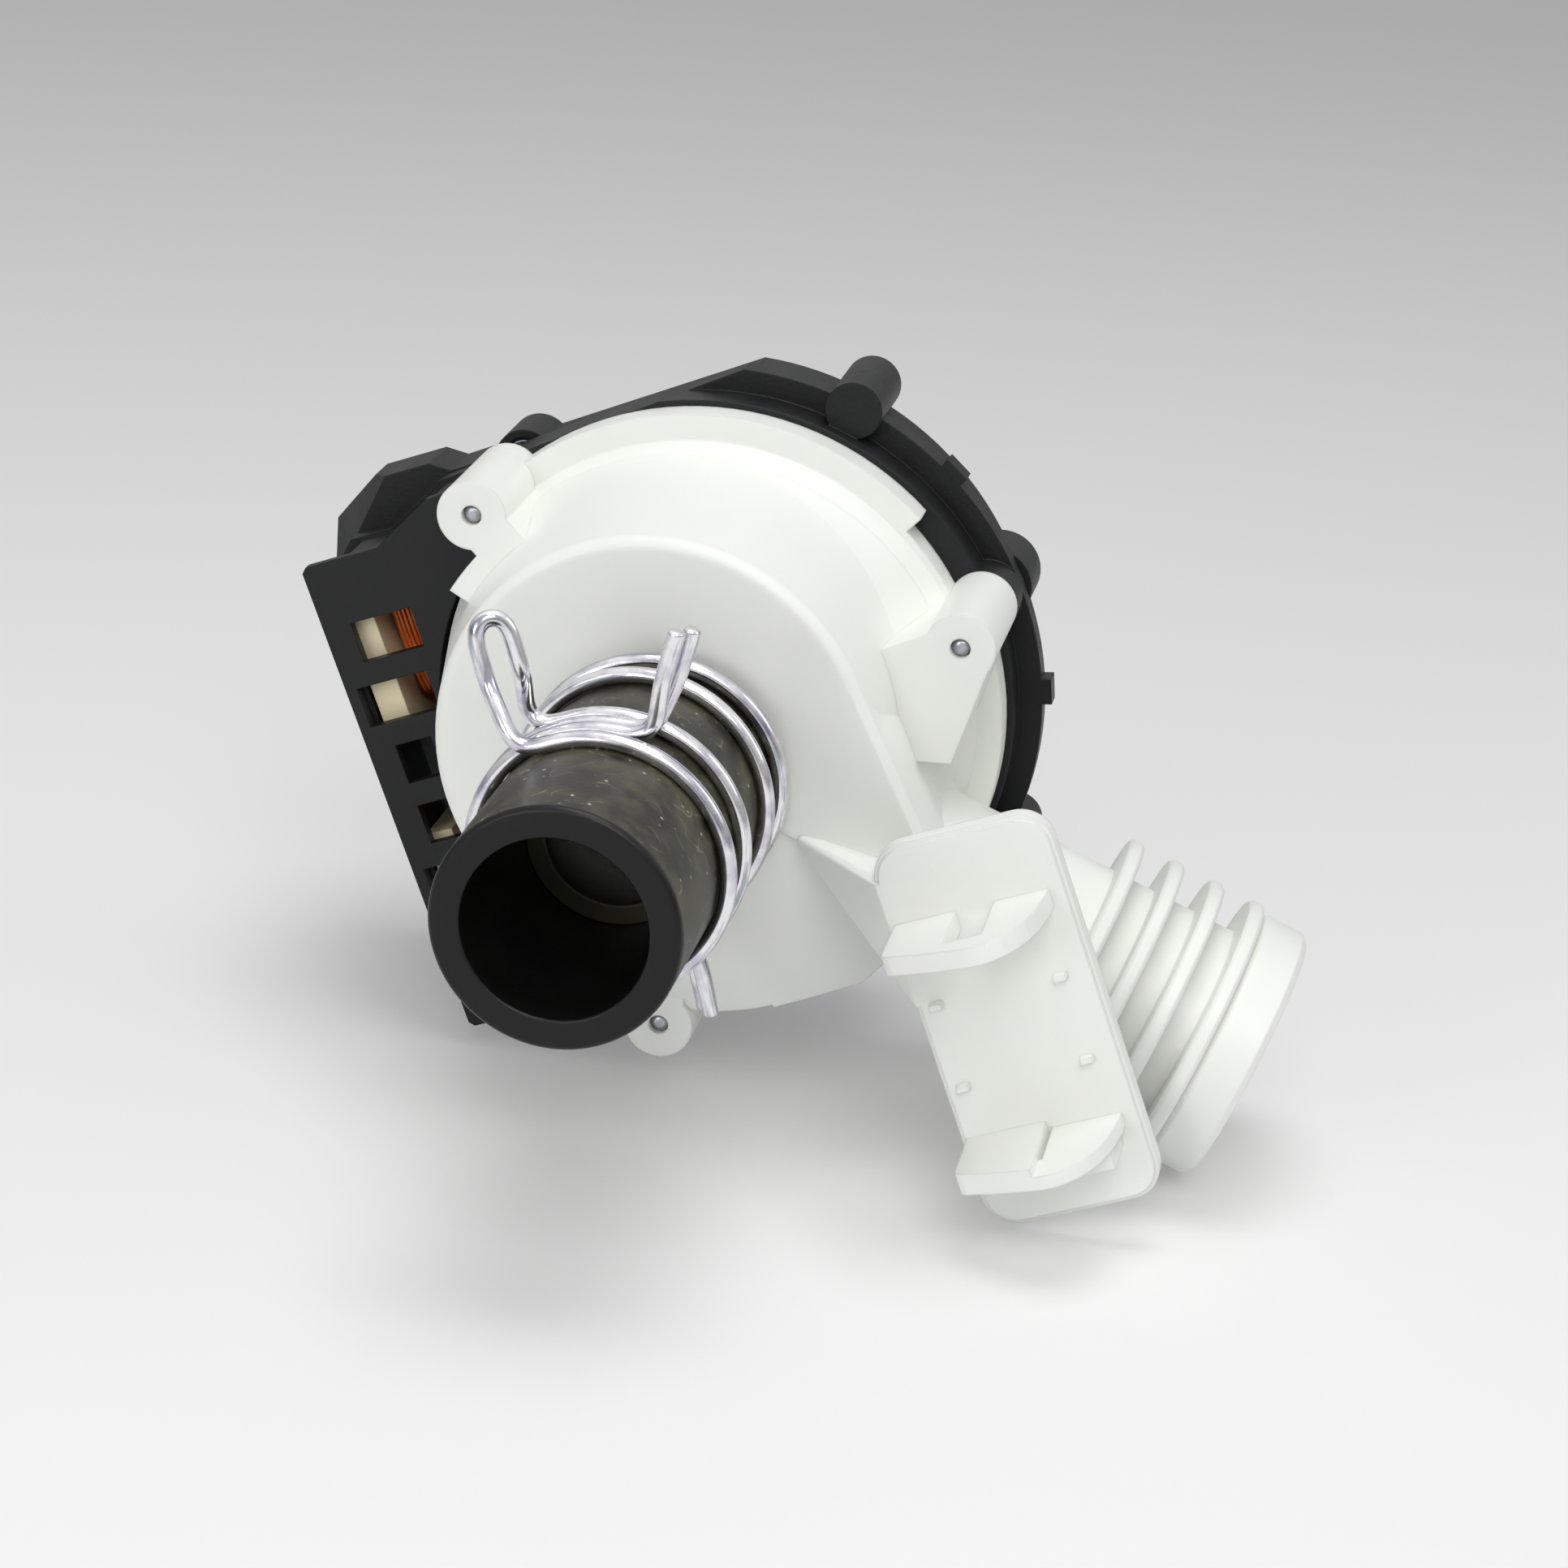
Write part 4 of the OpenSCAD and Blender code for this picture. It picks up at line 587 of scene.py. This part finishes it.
path = clampPath()
frontZ, rearZ = hose["clamps"]
frontPath = path + [0, 0, frontZ]
rearPath = turned(path * [1, -1, -1], clamp["rearTurn"]) + [0, 0, rearZ]
dress(hoseClamp("frontWireClamp", frontPath), "front_hose_clamp", "zincPlatedWire")
dress(hoseClamp("rearWireClamp", rearPath), "rear_hose_clamp", "zincPlatedWire")
print("clamps bent, points along the wire:", len(path))

coil = {  # mm
    "x0": -45.1, "x1": -22.9, "legY": 20.9, "midZ": -17.6,
    "halfY": 11.8, "halfZ": 13.8, "corner": 4.2, "square": 0.35,
    "wire": 0.62, "layer": 0.55, "wave": 0.04, "waveTurns": 3, "waveDrift": 1.7,
    "loops": 32, "stations": 40, "sides": 6,
}


# a coil layer: a helix whose turn is a rectangle with round corners, one wire pitch along for each turn,
# set out from the spool by off, with a slow wave so that the turns don't lie dead straight
def coilLayer(side, off, back):
    t = np.linspace(0, coil["loops"], coil["loops"] * coil["stations"])
    a = 2 * np.pi * (t % 1)
    r = coil["corner"] + off
    runY = coil["halfY"] - coil["corner"]
    runZ = coil["halfZ"] - coil["corner"]
    cy = np.cos(a)
    cz = np.sin(a)
    y = np.sign(cy) * np.abs(cy) ** coil["square"] * runY + r * cy
    z = np.sign(cz) * np.abs(cz) ** coil["square"] * runZ + r * cz
    span = coil["x1"] - coil["x0"] - coil["wire"]
    share = 1 - t / coil["loops"] if back else t / coil["loops"]
    wave = coil["wave"] * np.sin(coil["waveTurns"] * a + coil["waveDrift"] * t)
    x = coil["x0"] + coil["wire"] / 2 + span * share + wave
    return np.stack([x, side * coil["legY"] + side * y, coil["midZ"] + z], -1)


def winding(name, side):
    r = coil["wire"] / 2
    layers = [coilLayer(side, r, False), coilLayer(side, r + coil["layer"], True)]
    skin = wireSkin(np.concatenate(layers), r, np.array([1.0, 0, 0]), coil["sides"])
    return sheetPiece(name, toFrame(skin)[::-1], caps=True)


dress(winding("upperCopperWinding", 1), "upper_winding", "enamelledCopper")
dress(winding("lowerCopperWinding", -1), "lower_winding", "enamelledCopper")
print("coils wound")

tip = {  # mm, heights from the joint face, and the ears' angles
    "r": 1.42, "thread": 0.12, "pitch": 1.1, "sharp": 4, "from": 16.4, "to": 21.2,
    "point": 1.0, "blunt": 0.35, "out": 45.0, "ears": {"upper": 114, "side": 4, "lower": -113},
    "roundSteps": 28, "longSteps": 70,
}


# a screw's tip in its pilot hole: radius against height with a thread that climbs one pitch a turn as a
# rounded ridge, drawing in to a blunt point over the last millimetre
def screwTip(name, angle):
    around = np.linspace(0, 2 * np.pi, tip["roundSteps"], endpoint=False)
    a, z = np.meshgrid(around, np.linspace(tip["from"], tip["to"], tip["longSteps"]))
    ridge = tip["thread"] * np.abs(np.cos(np.pi * z / tip["pitch"] - a / 2)) ** tip["sharp"]
    left = np.clip((tip["to"] - z) / tip["point"], 0, 1)
    taper = tip["blunt"] + (1 - tip["blunt"]) * np.sqrt(left * (2 - left))
    r = (tip["r"] - tip["thread"] + ridge) * taper
    middle = polar(tip["out"], angle)
    points = np.stack([middle[0] + r * np.cos(a), middle[1] + r * np.sin(a), z], -1)
    piece = sheetPiece(name, toFrame(points)[::-1], caps=True)
    piece.data.materials.append(finishes["zincScrewSteel"])
    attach(piece, "housing")


for ear, angle in tip["ears"].items():
    screwTip(ear + "ScrewTip", angle)
print("screw tips turned")

low = min(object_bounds()[0][2], cadBox[0][2])
floorLook = {  # metres
    "half": 3.0, "near": "#f9f9f9", "far": "#dadada", "greys": (-0.1, 1.3), "fall": 0.6, "glow": 0.22,
}


def seenBy(tree):  # 1 for what the eye sees, straight, mirrored or through glass
    ray = put(tree, "ShaderNodeLightPath", {})
    mirrored = put(tree, "ShaderNodeMath", {
        0: ray.outputs["Is Camera Ray"], 1: ray.outputs["Is Glossy Ray"]}, operation="MAXIMUM")
    through = put(tree, "ShaderNodeMath", {
        0: mirrored.outputs[0], 1: ray.outputs["Is Transmission Ray"]}, operation="MAXIMUM")
    return through.outputs[0]


# the floor: a pale flat sheet under the pump, its colour greyed away with distance as painted shade.
# Matt paint, partly self-bright to the eye so that it stays pale
def sweepFloor():
    h = floorLook["half"]
    points = np.array([[[-h, -h, low], [h, -h, low]], [[-h, h, low], [h, h, low]]])[::-1]
    floor = sheetPiece("studioFloor", points, wrapV=False)
    finish = bpy.data.materials.new("paintedSweep")
    finish.use_nodes = True
    tree = finish.node_tree
    tree.nodes.remove(tree.nodes["Principled BSDF"])
    where = put(tree, "ShaderNodeTexCoord", {}).outputs["Object"]
    axis = put(tree, "ShaderNodeSeparateXYZ", {"Vector": where})
    # painted shade: the floor's colour darkens from near to far
    far = put(tree, "ShaderNodeMapRange", (axis.outputs["Y"], *floorLook["greys"]),
              interpolation_type="SMOOTHSTEP")
    fall = put(tree, "ShaderNodeMath", {0: far.outputs[0], 1: floorLook["fall"]}, operation="POWER")
    tone = put(tree, "ShaderNodeMix", {
        0: fall.outputs[0], 6: linear(floorLook["near"]), 7: linear(floorLook["far"])}, data_type="RGBA")
    paint = put(tree, "ShaderNodeBsdfDiffuse", {"Color": tone.outputs[2]})
    glow = put(tree, "ShaderNodeEmission", {"Color": tone.outputs[2], "Strength": 1.0})
    share = put(tree, "ShaderNodeMath", {0: seenBy(tree), 1: floorLook["glow"]}, operation="MULTIPLY")
    mixed = put(tree, "ShaderNodeMixShader", {0: share.outputs[0], 1: paint.outputs[0], 2: glow.outputs[0]})
    tree.links.new(mixed.outputs[0], tree.nodes["Material Output"].inputs["Surface"])
    floor.data.materials.append(finish)


sweepFloor()

lamps = {  # metres and watts
    "overheadBox": {"at": (0.08, 0.0, 1.0), "to": (0.0, 0.08, 0.0), "size": 0.5, "watts": 4.0},
    "frontFill": {"at": (0.3, -0.95, 0.95), "to": (0.0, 0.06, 0.0), "size": 0.7, "watts": 6.1},
    "leftFill": {"at": (-0.65, -0.9, 0.45), "to": (0.0, 0.06, 0.0), "size": 0.5, "watts": 1.0},
    "lowFill": {"at": (-0.42, -1.0, 0.24), "to": (0.0, 0.06, 0.0), "size": 0.3, "watts": 1.5},
    "rightRim": {"at": (0.9, 0.25, 0.5), "to": (0.0, 0.08, 0.0), "size": 0.5, "watts": 0.9},
}


def standing(right, up, back, at):  # the matrix of an object at a place, by where its own axes point
    turn = np.eye(4)
    turn[:3] = np.column_stack([right, up, back, at])
    return Matrix(turn.tolist())


def aim(position, target):  # a lamp's turn so that its -Z looks from position to target
    z = np.array(position, float) - np.array(target, float)
    z /= np.linalg.norm(z)
    x = np.cross([0, 0.02, 1.0], z)  # nearly upright, so that a lamp straight above has a side too
    x /= np.linalg.norm(x)
    return standing(x, np.cross(z, x), z, position)


for name, lamp in lamps.items():
    light = bpy.data.lights.new(name, "AREA")
    light.energy = lamp["watts"]
    light.size = lamp["size"]
    holder = bpy.data.objects.new(name, light)
    holder.matrix_world = aim(lamp["at"], lamp["to"])
    bpy.context.scene.collection.objects.link(holder)

room = {"zenith": "#ffffff", "horizon": "#a4a4a4", "rise": (0.0, 0.9), "strength": 0.38, "seen": 1.0}
world = bpy.data.worlds.new("studioRoom")
world.use_nodes = True
sky = world.node_tree
direction = put(sky, "ShaderNodeTexCoord", {}).outputs["Generated"]
facing = put(sky, "ShaderNodeSeparateXYZ", {"Vector": direction})
height = put(sky, "ShaderNodeMapRange", (facing.outputs["Z"], *room["rise"]))
tone = put(sky, "ShaderNodeMix", {
    0: height.outputs[0], 6: linear(room["horizon"]), 7: linear(room["zenith"])}, data_type="RGBA")
sky.links.new(tone.outputs[2], sky.nodes["Background"].inputs["Color"])
level = put(sky, "ShaderNodeMapRange", (seenBy(sky), 0.0, 1.0, room["strength"], room["seen"]))
sky.links.new(level.outputs[0], sky.nodes["Background"].inputs["Strength"])
bpy.context.scene.world = world
bpy.context.scene.view_settings.view_transform = "Standard"
print("stage lit")

shot = {  # camera fitted to the photograph's view of the pump: place in mm and directions
    "at": (112.28, -476.0, 203.93), "right": (0.97986, 0.193, 0.05837), "up": (-0.12155, 0.332, 0.9355),
    "forward": (-0.16119, 0.923, -0.3489), "angle": 21.77, "clip": 0.01,
}
lens = bpy.data.cameras.new("photoCamera")
lens.sensor_fit = "HORIZONTAL"
lens.angle = np.radians(shot["angle"])
lens.clip_start = shot["clip"]
camera = bpy.data.objects.new("photoCamera", lens)
camera.matrix_world = standing(
    shot["right"], shot["up"], -np.array(shot["forward"]), np.array(shot["at"]) / 1000)
bpy.context.scene.collection.objects.link(camera)
bpy.context.scene.camera = camera
